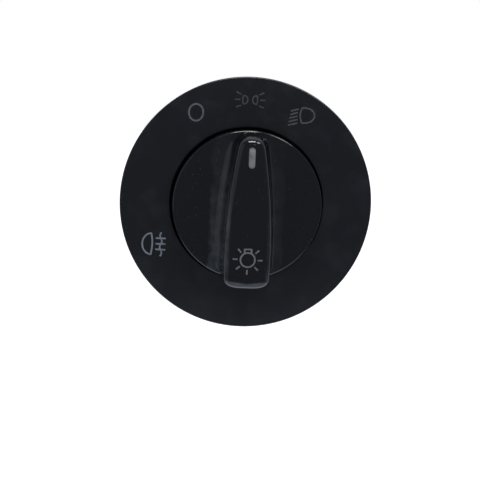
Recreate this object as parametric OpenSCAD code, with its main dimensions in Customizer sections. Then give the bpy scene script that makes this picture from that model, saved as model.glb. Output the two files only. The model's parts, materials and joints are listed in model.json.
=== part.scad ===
// Rotary headlight switch that clips into a round hole in a dashboard.
// The knob turns from off through side lights to dipped beam, and pulls out for the rear
// fog lamp. Pushed in and turned, it draws two side latches in, so the switch comes out.
// Every module is drawn with z along the knob's axis, towards the driver, x to the right
// and y up. upright() then turns it so that the face looks along -Y and +Z is up.
// The origin is on the knob's axis, in the plane where the faceplate meets the dashboard.

/* [Faceplate] */
// Diameter of the round faceplate
plate_d = 72; // [70:0.5:78]
// Height of the faceplate's lip round the knob, above the dashboard
plate_h = 6.6; // [6.2:0.1:7.4]
// Height of the faceplate at its outer edge
plate_edge_h = 5.4; // [4.9:0.1:5.8]
// How far the faceplate's side draws in towards the dashboard
side_draw = 0.8; // [0.4:0.1:0.9]
// Wall thickness of the faceplate
plate_wall = 1.8; // [1.4:0.1:2]
// Share of the faceplate's radius that its flat band takes
band_share = 0.397; // [0.36:0.001:0.4]
// Rise of the band's crown above a straight cone
band_crown = 0.3; // [0:0.05:0.5]
// Clearance round the knob in the faceplate's well
well_gap = 0.5; // [0.4:0.05:0.8]
// Wall of the tube that lines the well
well_wall = 1.4; // [1.1:0.1:1.5]
// Radius of the rounded lip round the well
lip_r = 0.4; // [0.3:0.1:0.8]
// Thickness of the stiffening ribs behind the faceplate
rib_t = 1; // [0.8:0.1:1.4]

/* [Knob] */
// Height of the disc's face above the dashboard
knob_face_z = 10.4; // [10.1:0.1:10.9]
// Radius of the disc's rounded edge
knob_edge_r = 0.6; // [0.3:0.1:1]
// Wall thickness of the knob
knob_wall = 1.5; // [1.3:0.1:1.7]
// Height of the grip's crest above the dashboard
grip_z = 21.2; // [20:0.2:24]
// Half width of the grip at its widest
grip_half_w = 6.9; // [6.4:0.1:7.2]
// How far the grip's narrow tip stays inside the disc's edge
tip_back = 0.3; // [0.1:0.1:1]
// How far the grip's wide heel reaches past the disc's edge
heel_over = 1.5; // [0.5:0.1:2]
// Width of the hollow fillet where the grip meets the disc
grip_flare = 4.2; // [3:0.1:4.6]
// Radius of the grip's shoulders
grip_shoulder = 1.4; // [0.8:0.1:1.8]
// Width of the pointer window
pointer_w = 1.95; // [1.5:0.05:2.4]
// Length of the pointer window
pointer_l = 6; // [4:0.1:6.5]
// Distance from the grip's tip to the pointer's middle
pointer_back = 6.4; // [6.2:0.1:8.2]

/* [Turning and pulling] */
// Angle from one lamp position to the next
turn_step = 31; // [28:0.5:33]
// Travel of the knob when it is pulled out
pull_travel = 5; // [4:0.1:5]
// Travel of the knob when it is pushed in
push_travel = 2.5; // [2:0.1:2.5]
// Running clearance between parts that turn in each other
run_gap = 0.1; // [0.06:0.01:0.12]
// Clearance between parts that slide or pass each other
slide_gap = 0.3; // [0.25:0.01:0.35]

/* [Housing] */
// Share of the faceplate's radius that the collar in the dashboard's hole takes
collar_share = 0.7639; // [0.76:0.0001:0.775]
// Length of the collar, which is the dashboard's thickness
collar_l = 3.4; // [3.2:0.1:3.6]
// Step from the collar in to the drum, behind which the dashboard is gripped
drum_step = 1.9; // [1.7:0.1:2]
// Wall of the housing's drum
drum_wall = 1.6; // [1.4:0.1:1.8]
// Space round the housing's flange, inside the faceplate's rim
flange_gap = 1; // [0.6:0.1:1.2]
// Thickness of the flange
flange_t = 1.6; // [1.4:0.1:1.6]
// Thickness of the deck under the knob
deck_t = 1.8; // [1.6:0.1:1.8]
// Depth of the deck's front face below the dashboard's plane
deck_z = 1.6; // [1.6:0.1:1.8]
// Share of the faceplate's radius that the rotor's neck takes
neck_share = 0.1944; // [0.188:0.0001:0.2]
// Wall of the hub round the rotor's neck
hub_wall = 1.9; // [1.6:0.1:2.1]
// Diameter of the two locating pegs
peg_d = 3; // [2.5:0.1:3.4]
// Length of the pegs behind the dashboard's front face
peg_l = 4; // [3:0.1:5]

/* [Latches] */
// Width of each side latch
latch_w = 10; // [8:0.5:11]
// Thickness of each side latch
latch_t = 5.4; // [5:0.1:5.6]
// How far a latch reaches past the collar
latch_reach = 2.1; // [1.6:0.1:2.2]
// Travel of a latch when it is drawn in
latch_travel = 2.4; // [2.3:0.1:2.5]
// Turn of the release ring that draws the latches in
release_turn = 25; // [22:1:27]
// Thickness of the release ring
ring_t = 1.6; // [1.2:0.1:1.7]
// Space between the release ring and the knob's skirt
ring_gap = 2.7; // [2.4:0.1:3]
// Distance from the release ring's edge to the middle of a latch boss
boss_in = 2.6; // [2.4:0.1:2.8]
// Radius of a latch boss
boss_r = 1.3; // [1:0.1:1.5]

/* [Rotor] */
// Wall of the rotor's drum
rotor_wall = 2; // [1.8:0.1:2.2]
// Thickness of the rotor's front web
rotor_web = 2.5; // [2:0.1:2.6]
// Depth of the rotor's drum, from its front face
rotor_l = 9.5; // [9.3:0.1:10.4]
// Wall of the rotor's neck round the sliding shaft
neck_wall = 2.4; // [2.2:0.1:2.5]
// Share of the shaft's radius that its bore takes
bore_share = 0.51; // [0.48:0.01:0.55]
// Thickness of the bearing plate behind the latches
bearing_t = 1.4; // [1.2:0.1:1.5]
// Radius of the round groove that forms a detent notch
notch_r = 1.6; // [1.4:0.1:1.8]

/* [Springs] */
// Wire diameter of the push spring
push_wire = 0.7; // [0.5:0.05:0.8]
// Wire diameter of the latch springs
latch_wire = 0.4; // [0.3:0.05:0.5]
// Thickness of the detent's leaf spring
leaf_t = 0.4; // [0.3:0.05:0.5]

/* [Screws and lamps] */
// Radius of the self-tapping screws' thread core
screw_core_r = 0.9; // [0.8:0.05:1]
// Radius of the screws' heads
screw_head_r = 1.9; // [1.7:0.1:2]
// Thickness of the screws' heads
screw_head_t = 1.2; // [1:0.1:1.3]
// Depth to which the screws bite into their bosses
screw_bite = 3.6; // [3:0.1:4.4]
// Width of the small lamps behind the symbols
lamp_w = 2.6; // [2:0.1:3]
// Height of those lamps
lamp_t = 0.6; // [0.5:0.05:0.8]
// Height of the domed lamp behind the shaft
lamp_h = 2.7; // [2.2:0.1:2.8]

/* [Connector] */
// Space in the socket beside the outermost blades
socket_side = 2.5; // [2.2:0.1:3.5]
// Space in the socket above and below the rows of blades
socket_cheek = 4.25; // [3.5:0.05:5]
// Depth of the connector's socket
socket_l = 14; // [12:0.5:18]
// Wall of the socket
socket_wall = 1.6; // [1.4:0.1:1.8]
// Blades in each of the two rows
blade_n = 6; // [4:1:6]
// Distance between neighbouring blades
blade_pitch = 5; // [4.5:0.1:5.2]
// Distance between the two rows of blades
row_gap = 7.5; // [6.5:0.1:8.5]
// Width of a blade
blade_w = 2.8; // [2:0.1:3]
// Thickness of a blade
blade_t = 0.8; // [0.6:0.1:1]
// Length of a blade inside the socket
blade_l = 9; // [7:0.5:10.5]
// Thickness of the rear cover
cover_t = 2; // [1.6:0.1:2.4]
// Thickness of the contact board
board_t = 1.6; // [1.2:0.1:1.8]

/* [Hidden] */
$fn = 96;

// Places along the axis, from the front to the back
skirt_z = plate_h - pull_travel - 0.3;
deck_back = -deck_z - deck_t;
flange_back = collar_l - 3;
flange_front = flange_back + flange_t;
ring_z = -deck_z + slide_gap;
hub_top = ring_z + ring_t + 0.7;
latch_front = deck_back - slide_gap;
latch_back = latch_front - latch_t;
bearing_front = latch_back - slide_gap;
bearing_back = bearing_front - bearing_t;
rotor_front = bearing_back - slide_gap;
rotor_back = rotor_front - rotor_l;
rotor_hub_back = rotor_front - rotor_web - 1;
yoke_t = 1.4;
yoke_front = rotor_hub_back - slide_gap - pull_travel - 0.1;
shaft_end = yoke_front - yoke_t - 0.5;
board_front = shaft_end - 2 * slide_gap;
cover_front = board_front - board_t;
cover_back = cover_front - cover_t;
socket_end = cover_back - socket_l;
spring_floor = -4;
knob_hub_z = hub_top + push_travel + slide_gap;

// Radii of the faceplate and the knob
plate_r = plate_d / 2;
well_r = plate_r * (1 - band_share);
knob_r = well_r - well_gap;
symbol_r = (plate_r + well_r) / 2;
grip_tip = knob_r - tip_back;
grip_heel = knob_r + heel_over;
pointer_y = grip_tip - pointer_back;
pointer_end = pointer_y + pointer_l / 2;

// Radii of the housing
collar_r = plate_r * collar_share;
collar_bore_r = collar_r - 1.6;
drum_r = collar_r - drum_step;
drum_bore_r = drum_r - drum_wall;
flange_r = plate_r - plate_wall - flange_gap;
peg_ring_r = (collar_r + flange_r) / 2;
neck_r = plate_r * neck_share;
hub_r = neck_r + run_gap + hub_wall;
board_r = drum_bore_r - slide_gap;

// Radii of the shaft, the release ring and the rotor
neck_bore_r = neck_r - neck_wall;
shaft_r = neck_bore_r - run_gap;
shaft_bore_r = shaft_r * bore_share;
spring_bore_r = neck_r - 0.8;
groove_r = shaft_r * 0.75;
key_r = shaft_r + 0.9;
ring_r = knob_r - knob_wall - ring_gap;
boss_ring_r = ring_r - boss_in;
rotor_r = drum_bore_r - 2 * screw_head_r - 1.6;
rotor_bore_r = rotor_r - rotor_wall;
leaf_y = -(rotor_r + 1.8);

// Lamp positions are counted clockwise from straight up, as the driver sees them
guide_legs = [-65, 15];
guide_from = -131;
guide_to = 43;
leg_r = drum_bore_r - 2.2;
guide_r = [well_r + well_wall + 0.6, plate_r - plate_wall - 1.6];
leg_t = 1.6;
leg_half = 6;
symbol_at = [-turn_step, 0, turn_step, -118];
screw_at = [45, 135, 270];
screw_ring_r = rotor_r + screw_head_r + 0.9;
peg_at = [50, 230];
clip_at = [45, 135, 225, 315];

function polar(r, a) = [r * cos(a), r * sin(a)];
function clockwise(a) = 90 - a;
function blade_x(i) = (i - (blade_n - 1) / 2) * blade_pitch;

module upright() { rotate([90, 0, 0]) children(); }
module tube(outer, inner, from, to) {
    translate([0, 0, from]) difference() {
        cylinder(r = outer, h = to - from);
        translate([0, 0, -1]) cylinder(r = inner, h = to - from + 2);
    }
}
// Part of a ring, between two radii, two heights and two angles counted anticlockwise
module arc_block(inner, outer, from_z, to_z, from_a, to_a) {
    translate([0, 0, from_z]) rotate([0, 0, from_a])
        rotate_extrude(angle = to_a - from_a) translate([inner, 0])
            square([outer - inner, to_z - from_z]);
}
module block(x, y, z) {
    translate([x[0], y[0], z[0]]) cube([x[1] - x[0], y[1] - y[0], z[1] - z[0]]);
}
// A coil of wire, as one swept tube with flat-ground ends left round
module coil(mean_r, wire, length, turns, steps = 14, sides = 6) {
    n = turns * steps;
    rise = length - wire;
    function at(i) = let (a = 360 * i / steps, t = i / n)
        [mean_r * cos(a), mean_r * sin(a), wire / 2 + rise * t];
    points = [for (i = [0 : n], s = [0 : sides - 1])
        let (c = at(i), a = 360 * i / steps, b = 360 * s / sides)
        c + wire / 2 * [cos(b) * cos(a), cos(b) * sin(a), sin(b)]];
    walls = [for (i = [0 : n - 1], s = [0 : sides - 1])
        let (t = (s + 1) % sides, p = i * sides, q = p + sides) [p + s, p + t, q + t, q + s]];
    polyhedron(points, concat([[for (s = [sides - 1 : -1 : 0]) s]], walls,
                              [[for (s = [0 : sides - 1]) n * sides + s]]), convexity = 8);
}

// The grip's outline, tip to heel down its right side. Its flanks are long shallow arcs,
// its tip is round and its heel is blunt with soft corners.
tip_round = 4.2;
heel_round = 3.1;
function flank(y) = grip_half_w - 0.003 * pow(y + 12, 2);
function tip_point(a) = let (y = grip_tip - tip_round + tip_round * cos(a))
    [flank(y) * pow(sin(a), 0.77), y];
function heel_point(a) = let (y = -grip_heel + heel_round - heel_round * sin(a))
    [flank(y) * pow(max(cos(a), 0), 0.57), y];
grip_right = concat(
    [for (i = [0 : 7]) tip_point(i * 90 / 8)],
    [for (i = [0 : 13]) let (y = grip_tip - tip_round
        - i / 14 * (grip_tip - tip_round + grip_heel - heel_round)) [flank(y), y]],
    [for (i = [0 : 8]) heel_point(i * 90 / 8)]);
half_n = len(grip_right);
grip_outline = concat(grip_right, [for (i = [half_n - 2 : -1 : 1])
    [-grip_right[i][0], grip_right[i][1]]]);
ring_n = len(grip_outline);
// Outward normal at a point of the outline, which runs clockwise
function outward(i) = let (d = grip_outline[(i + 1) % ring_n]
    - grip_outline[(i + ring_n - 1) % ring_n]) [-d[1], d[0]] / norm(d);
tip_fall = 2.4;
tip_run = 2.6;
heel_fall = 0.8;
heel_run = 3.2;
// Height of the grip's crest, which arches gently and falls away at the tip and the heel
function crest(y) = grip_z - 0.0022 * pow(y + 6, 2)
    - tip_fall * pow(max(0, y - grip_tip + tip_run) / tip_run, 2.2)
    - heel_fall * pow(max(0, heel_run - grip_heel - y) / heel_run, 2);
function flare(y) = grip_flare * (abs(y) < flare_end ? 1 - pow(abs(y) / flare_end, 5) : 0);
flare_end = knob_r - 1.9;
grip_foot_z = knob_face_z - 0.3;
// One ring of the grip: out is the share of the hollow fillet, up the share of its height
function grip_ring(inset, flare_out, height) = [for (i = [0 : ring_n - 1])
    let (p = grip_outline[i], n = outward(i), q = p + n * (flare(p[1]) * flare_out - inset))
    [q[0], q[1], height(inset > 0 ? q[1] : p[1])]];
foot_h = 3.2;
function foot_height(y, a) = knob_face_z - 0.06
    + min(foot_h, 0.4 * (crest(y) - knob_face_z)) * (1 - cos(a));
function grip_rings() = concat(
    [grip_ring(0, 1, function (y) grip_foot_z)],
    [for (a = [0, 25, 50, 72, 90]) grip_ring(0, 1 - sin(a), function (y) foot_height(y, a))],
    [for (a = [0, 22, 45, 68, 88]) grip_ring(0.35 + grip_shoulder * (1 - cos(a)), 0,
        function (y) crest(y) - 0.25 - grip_shoulder * (1 - sin(a)))]);
module grip() {
    rings = grip_rings();
    rows = len(rings);
    last = (rows - 1) * ring_n;
    walls = [for (r = [0 : rows - 2], i = [0 : ring_n - 1])
        let (j = (i + 1) % ring_n, p = r * ring_n, q = p + ring_n) [p + i, p + j, q + j, q + i]];
    // The crown bridges the last ring from flank to flank along a raised spine
    spine = [for (i = [1 : half_n - 2]) let (p = rings[rows - 1][i]) [0, p[1], crest(p[1])]];
    s = rows * ring_n;
    function mirrored(i) = (ring_n - i) % ring_n;
    function right(i) = last + i;
    function left(i) = last + mirrored(i);
    foot = concat(
        [[1, 0, mirrored(1)]],
        [for (i = [1 : half_n - 3]) [i + 1, i, mirrored(i), mirrored(i + 1)]],
        [[half_n - 1, half_n - 2, mirrored(half_n - 2)]]);
    crown = concat(
        [[right(0), right(1), s], [left(1), right(0), s]],
        [for (i = [1 : half_n - 3]) each [[right(i), right(i + 1), s + i, s + i - 1],
                                          [left(i + 1), left(i), s + i - 1, s + i]]],
        [[right(half_n - 2), right(half_n - 1), s + half_n - 3],
         [right(half_n - 1), left(half_n - 2), s + half_n - 3]]);
    polyhedron(concat([for (r = rings) each r], spine), concat(foot, walls, crown),
               convexity = 6);
}
module grip_hollow(inset, from, to) {
    translate([0, 0, from]) linear_extrude(to - from)
        polygon([for (i = [0 : ring_n - 1]) grip_outline[i] * 0.86 - outward(i) * inset]);
}

hollow_inset = 1.1;
hollow_top = grip_z - 4.2;
guide_bar = [hollow_top - 2.3, hollow_top - 0.3];
hub_end = hollow_top - 6.2;
clip_z = [hub_end + 0.15, hub_end + 0.75];
shaft_top = clip_z[1] + 0.35;
dog_ring = [ring_r - 4.8, ring_r - 2.4];
dog_w = 2.2;
dog_z = ring_z + push_travel;
hub_flat_x = 0.8 * grip_half_w;
module knob() {
    web = 1.2;
    color("#1b1d20") difference() {
        union() {
            rotate_extrude() polygon(concat(
                [[0, knob_face_z - knob_wall], [0, knob_face_z]],
                [for (a = [90 : -15 : 0])
                    [knob_r, knob_face_z] + polar(knob_edge_r, a) - [knob_edge_r, knob_edge_r]],
                [[knob_r, skirt_z], [knob_r - knob_wall, skirt_z],
                 [knob_r - knob_wall, knob_face_z - knob_wall]]));
            grip();
        }
        grip_hollow(hollow_inset, knob_face_z - knob_wall - 1, hollow_top);
        translate([0, pointer_y, guide_bar[0] - 0.1]) linear_extrude(grip_z) pointer_outline(0.05);
    }
    color("#1b1d20") difference() {
        union() {
            knob_hub();
            for (a = [0, 180]) rotate([0, 0, a]) {
                block([-dog_w / 2, dog_w / 2], [shaft_r + 1.5, dog_ring[1]],
                      [knob_hub_z, knob_face_z - 0.2]);
                block([-dog_w / 2, dog_w / 2], dog_ring, [dog_z, knob_hub_z + 0.5]);
                block([shaft_r + 1.5, knob_r - knob_wall + 0.2], [-web / 2, web / 2],
                      [knob_hub_z + 0.6, knob_face_z - knob_wall + 0.2]);
            }
        }
        shaft_socket();
    }
}
// The hub is round below the disc and narrower inside the grip
module knob_hub() {
    r = shaft_r + 2.1;
    translate([0, 0, knob_hub_z]) cylinder(r = r, h = knob_face_z - knob_wall + 0.2 - knob_hub_z);
    intersection() {
        translate([0, 0, knob_hub_z]) cylinder(r = r, h = hub_end - knob_hub_z);
        block([-hub_flat_x, hub_flat_x], [-r, r], [knob_hub_z, hub_end]);
    }
}
// The shaft's head has two flats, and the knob's hub slides on it when it is pushed in
flat_x = 0.57 * grip_half_w;
clip_r = shaft_bore_r + 0.5;
clip_half = [0.49 * grip_half_w, shaft_r + 1.5];
collar_t = 1;
module shaft_socket() {
    intersection() {
        translate([0, 0, knob_hub_z - 1]) cylinder(r = shaft_r + 0.05, h = grip_z);
        block([-flat_x - 0.05, flat_x + 0.05], [-9, 9], [knob_hub_z - 1, grip_z]);
    }
}
module pointer_outline(gap) {
    reach = (pointer_l - pointer_w) / 2;
    union() {
        translate([-pointer_w / 2 - gap, -reach]) square([pointer_w + 2 * gap, 2 * reach]);
        for (y = [-reach, reach]) translate([0, y]) circle(r = pointer_w / 2 + gap);
    }
}
module pointer_light_guide() {
    rod_r = shaft_bore_r - slide_gap;
    rod_end = board_front + lamp_h + push_travel + slide_gap;
    foot = guide_bar[0] + 0.5;
    bar_half = 0.28 * grip_half_w;
    color("#d9dad6") union() {
        intersection() {
            translate([0, pointer_y, guide_bar[0]]) linear_extrude(grip_z) pointer_outline(0);
            rotate([90, 0, 90]) translate([0, 0, -pointer_w]) linear_extrude(2 * pointer_w)
                polygon(concat([for (t = [-1 : 0.25 : 1]) let (y = pointer_y + t * pointer_l / 2)
                                [y, crest(y) - 0.05]],
                               [[pointer_end, foot], [pointer_end - pointer_l, foot]]));
        }
        block([-bar_half, bar_half], [5.7 - grip_heel, pointer_y + pointer_w / 2], guide_bar);
        translate([0, 0, rod_end]) cylinder(r = rod_r, h = foot - rod_end);
    }
}
key_z = [rotor_hub_back + 1.4, spring_floor - pull_travel - 0.2];
module shaft() {
    flats_from = hub_top;
    color("#d8d2c2") difference() {
        union() {
            translate([0, 0, shaft_end]) cylinder(r = shaft_r, h = flats_from - shaft_end);
            intersection() {
                translate([0, 0, flats_from - 1]) cylinder(r = shaft_r, h = shaft_top - flats_from + 1);
                block([-flat_x, flat_x], [-9, 9], [flats_from - 1, shaft_top]);
            }
            for (a = [0, 180]) rotate([0, 0, a]) block([shaft_r - 0.5, key_r], [-0.8, 0.8], key_z);
            // Collar that carries the push spring and stops on the rotor's neck
            translate([0, 0, spring_floor + 0.05]) cylinder(r = spring_bore_r - 0.2, h = collar_t);
        }
        translate([0, 0, shaft_end - 1]) cylinder(r = shaft_bore_r, h = shaft_top - shaft_end + 2);
        // Grooves for the fog slider's yoke and for the clip
        tube(shaft_r + 1, groove_r, yoke_front - yoke_t - 0.05, yoke_front + 0.05);
        tube(shaft_r + 1, clip_r, clip_z[0], clip_z[1]);
    }
}
module shaft_clip() {
    color("#b9bcc0") difference() {
        block([-clip_half[0], clip_half[0]], [-clip_half[1], clip_half[1]],
              [clip_z[0] + 0.05, clip_z[1] - 0.05]);
        translate([0, 0, clip_z[0] - 1]) cylinder(r = clip_r + 0.02, h = 3);
        block([-0.8 * clip_r, 0.8 * clip_r], [0, clip_half[1] + 1], [clip_z[0] - 1, clip_z[1] + 1]);
    }
}
module push_spring() {
    from = spring_floor + 0.05 + collar_t;
    color("#b9bcc0") translate([0, 0, from])
        coil(spring_bore_r - push_wire / 2 - 0.3, push_wire, knob_hub_z - from, 5, 16);
}

// Spiral slots change the ring's turn into an even inward travel of the latch bosses
module spiral_slot() {
    r = boss_r + 0.1;
    steps = 10;
    function mid(t) = polar(boss_ring_r - latch_travel * t, release_turn * t);
    function side(t) = let (d = mid(t + 0.01) - mid(t - 0.01)) [-d[1], d[0]] / norm(d) * r;
    linear_extrude(ring_t + 2) union() {
        polygon(concat([for (i = [0 : steps]) mid(i / steps) + side(i / steps)],
                       [for (i = [steps : -1 : 0]) mid(i / steps) - side(i / steps)]));
        for (t = [0, 1]) translate(mid(t)) circle(r = r);
    }
}
module release_ring() {
    dog_half = asin(dog_w / 2 / dog_ring[0]) + 1.5;
    color("#c9c4b4") difference() {
        tube(ring_r, hub_r + run_gap, ring_z, ring_z + ring_t);
        for (a = [0, 180]) rotate([0, 0, a]) {
            translate([0, 0, ring_z - 1]) spiral_slot();
            // Slots for the pushed-in knob's dog, and between them the bar that it drives
            for (span = [[-turn_step, -turn_step],
                         [release_turn - turn_step, release_turn + turn_step]])
                arc_block(dog_ring[0] - slide_gap, dog_ring[1] + slide_gap, ring_z - 1,
                          ring_z + ring_t + 1, 90 + span[0] - dog_half,
                          90 + span[1] + dog_half);
        }
    }
}
module ring_washer() {
    color("#a9acb0") tube(hub_r + 2.4, hub_r + 0.02, ring_z + ring_t + 0.15,
                          ring_z + ring_t + 0.6);
}

latch_x = [hub_r + 3, collar_r + latch_reach];
latch_pocket_r = 1.9;
latch_pocket_x = latch_x[0] + 6.8;
seat_x = [latch_x[0] - latch_travel - 1.6, latch_x[0] - latch_travel - slide_gap];
latch_mid_z = (latch_front + latch_back) / 2;
module latch_right() {
    nose_x = latch_x[1] - 4.4;
    color("#e3dfd2") difference() {
        union() {
            intersection() {
                translate([0, latch_w / 2, 0]) rotate([90, 0, 0]) linear_extrude(latch_w)
                    polygon([[latch_x[0], latch_back], [nose_x, latch_back],
                             [latch_x[1], latch_front - 1.5], [latch_x[1], latch_front - 0.4],
                             [latch_x[1] - 0.4, latch_front], [latch_x[0], latch_front]]);
                translate([0, 0, latch_back - 1]) cylinder(r = latch_x[1], h = latch_t + 2);
            }
            translate([boss_ring_r, 0, latch_front - 0.5])
                cylinder(r = boss_r, h = ring_z + ring_t - latch_front + 0.3);
        }
        translate([latch_x[0] - 1, 0, latch_mid_z]) rotate([0, 90, 0])
            cylinder(r = latch_pocket_r, h = latch_pocket_x - latch_x[0] + 1);
    }
}
module latch_left() { rotate([0, 0, 180]) latch_right(); }
module latch_spring_right() {
    color("#b9bcc0") translate([seat_x[1], 0, latch_mid_z]) rotate([0, 90, 0])
        coil(latch_pocket_r - latch_wire / 2 - 0.2, latch_wire, latch_pocket_x - seat_x[1], 6, 12);
}
module latch_spring_left() { rotate([0, 0, 180]) latch_spring_right(); }

module faceplate() {
    under = plate_h - plate_wall;
    under_edge = plate_edge_h - plate_wall;
    rim_in = plate_r - plate_wall;
    tube_out = well_r + well_wall;
    edge_r = 0.5;
    color("#1c1e21") difference() {
        union() {
            rotate_extrude() polygon(concat(
                [[plate_r - side_draw, 0]],
                [for (a = [0 : 15 : 90]) [plate_r - edge_r, plate_edge_h - edge_r] + polar(edge_r, a)],
                [for (t = [0.15 : 0.175 : 0.85]) [plate_r - edge_r, plate_edge_h] * (1 - t)
                    + [well_r + lip_r, plate_h] * t + [0, 4 * band_crown * t * (1 - t)]],
                [for (a = [90 : 15 : 180]) [well_r + lip_r, plate_h - lip_r] + polar(lip_r, a)],
                [[well_r, flange_front], [tube_out, flange_front], [tube_out, under],
                 [rim_in, under_edge], [rim_in, 0]]));
            // Stiffening ribs, where no light guide lies
            for (a = [55 : 20 : 215]) rotate([0, 0, clockwise(a)])
                translate([0, rib_t / 2, 0]) rotate([90, 0, 0]) linear_extrude(rib_t)
                    polygon([[tube_out - 0.2, flange_front + 0.2], [rim_in + 0.2, flange_front + 0.2],
                             [rim_in + 0.2, under_edge + 0.3], [tube_out - 0.2, under + 0.3]]);
            // Nibs that snap under the housing's flange
            for (a = [0 : 60 : 300])
                arc_block(flange_r - 0.5, rim_in + 0.3, 0.05, flange_back - 0.05, a - 7, a + 7);
            // Chimneys that keep each symbol's light apart
            for (a = symbol_at) rotate([0, 0, clockwise(a)]) translate([symbol_r, 0, 0])
                chimney(flange_front + 1.9, under_edge + 1);
        }
    }
}
module chimney(from, to) {
    translate([0, 0, from]) linear_extrude(to - from) difference() {
        square([7.6, 9.6], center = true);
        square([6, 8], center = true);
    }
}
module light_guide() {
    plate_z = [flange_front + 0.2, flange_front + 1.6];
    step_z = [flange_back + 0.3, flange_front - 0.1];
    leg_end = board_front + lamp_t + slide_gap;
    color("#dfe5e6") union() {
        arc_block(guide_r[0], guide_r[1], plate_z[0], plate_z[1],
                  clockwise(guide_to), clockwise(guide_from));
        // Each leg steps in under the well's tube and runs back to its lamp
        for (a = guide_legs) rotate([0, 0, clockwise(a) - leg_half])
            rotate_extrude(angle = 2 * leg_half) polygon([
                [leg_r, leg_end], [leg_r + leg_t, leg_end],
                [leg_r + leg_t, step_z[0]], [guide_r[0] + 1, step_z[0]],
                [guide_r[0] + 1, plate_z[1] - 0.4], [guide_r[0] + 0.1, plate_z[1] - 0.4],
                [guide_r[0] + 0.1, step_z[1]], [leg_r, step_z[1]]]);
    }
}

module leg_hole(from, to, outer) {
    for (a = guide_legs) rotate([0, 0, clockwise(a)])
        arc_block(leg_r - slide_gap, outer, from, to, -leg_half - 1, leg_half + 1);
}
module housing() {
    boss = screw_core_r + 1.3;
    color("#202225") difference() {
        union() {
            rotate_extrude() polygon([
                [neck_r + run_gap, deck_back], [neck_r + run_gap, hub_top], [hub_r, hub_top],
                [hub_r, -deck_z], [collar_bore_r, -deck_z], [collar_bore_r, flange_back],
                [well_r, flange_back], [well_r, flange_front], [flange_r, flange_front],
                [flange_r, flange_back], [collar_r, flange_back], [collar_r, flange_back - collar_l],
                [drum_r, flange_back - collar_l], [drum_r, cover_front],
                [drum_bore_r, cover_front], [drum_bore_r, deck_back]]);
            for (side = [0, 180]) rotate([0, 0, side]) {
                // Rails that guide a latch, and the seat of its spring
                for (y = [-1, 1]) block([seat_x[0] + 1.8, drum_bore_r + 0.3],
                    y > 0 ? [latch_w / 2 + slide_gap, latch_w / 2 + 1.5]
                    : [-latch_w / 2 - 1.5, -latch_w / 2 - slide_gap],
                    [bearing_front, deck_back + 0.2]);
                block(seat_x, [-2.6, 2.6], [bearing_front, deck_back + 0.2]);
            }
            for (a = screw_at) translate(concat(polar(screw_ring_r, a), bearing_front))
                cylinder(r = boss, h = deck_back + 0.2 - bearing_front);
            for (a = peg_at) translate(concat(polar(peg_ring_r, a), -peg_l))
                cylinder(r = peg_d / 2, h = peg_l + flange_back + 0.2);
            // Ledges that the contact board rests against
            for (a = [22, 112, 202, 292])
                arc_block(drum_bore_r - 1.1, drum_bore_r + 0.3, board_front, board_front + 3, a - 5, a + 5);
            for (a = clip_at) clip_nib(a);
            for (side = [-1, 1]) leaf_keeper(side);
        }
        for (side = [0, 180]) rotate([0, 0, side]) {
            block([drum_bore_r - 2, drum_r + 1], [-latch_w / 2 - slide_gap, latch_w / 2 + slide_gap],
                  [bearing_front, deck_back]);
            // Slot in which the latch's boss travels
            slot_x = [boss_ring_r - latch_travel, boss_ring_r];
            block(slot_x, [-boss_r - 0.2, boss_r + 0.2], [deck_back - 0.1, -deck_z + 0.1]);
            for (x = slot_x) translate([x, 0, deck_back - 0.1])
                cylinder(r = boss_r + 0.2, h = deck_t + 0.2);
        }
        for (a = screw_at) translate(concat(polar(screw_ring_r, a), bearing_front - 1))
            cylinder(r = screw_core_r, h = screw_bite + 1.9);
        leg_hole(deck_back - 0.1, -deck_z + 0.1, leg_r + leg_t + slide_gap);
        leg_hole(-deck_z + 0.5, flange_front + 1, guide_r[0] + 1.3);
    }
}
module clip_nib(a) {
    rotate([0, 0, a]) translate([0, 3, 0]) rotate([90, 0, 0]) linear_extrude(6)
        polygon([[drum_r - 0.4, cover_front + 4], [drum_r + 0.9, cover_front + 4],
                 [drum_r + 0.9, cover_front + 4.4], [drum_r - 0.4, cover_front + 6]]);
}
leaf_z = [rotor_back + 1.6, rotor_back + 7.6];
leaf_half = 0.467 * drum_bore_r;
module leaf_keeper(side) {
    x = [leaf_half + 0.2, leaf_half + 1.8];
    lip = [leaf_half - 1, leaf_half + 0.4];
    intersection() {
        translate([0, 0, leaf_z[0] - 1]) cylinder(r = drum_bore_r + 0.3, h = 8);
        union() {
            block(side > 0 ? x : -[x[1], x[0]], [-drum_r, leaf_y + 1], [leaf_z[0] - 1, leaf_z[1] + 1]);
            block(side > 0 ? lip : -[lip[1], lip[0]], [leaf_y + 0.2, leaf_y + 1],
                  [leaf_z[0] - 1, leaf_z[1] + 1]);
        }
    }
}
// A leaf spring whose formed nose clicks into the rotor's notches
module detent_spring() {
    nose = 0.5 - rotor_r;
    shoulder = -rotor_r - 0.15;
    color("#b9bcc0") translate([0, 0, leaf_z[0]]) linear_extrude(leaf_z[1] - leaf_z[0])
        polygon([[-leaf_half, leaf_y], [-5, leaf_y], [-1.1, shoulder], [-0.5, nose],
                 [0.5, nose], [1.1, shoulder], [5, leaf_y], [leaf_half, leaf_y],
                 [leaf_half, leaf_y - leaf_t], [4.8, leaf_y - leaf_t], [0.8, shoulder - leaf_t],
                 [0.3, nose - leaf_t], [-0.3, nose - leaf_t], [-0.8, shoulder - leaf_t],
                 [-4.8, leaf_y - leaf_t], [-leaf_half, leaf_y - leaf_t]]);
}

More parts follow.
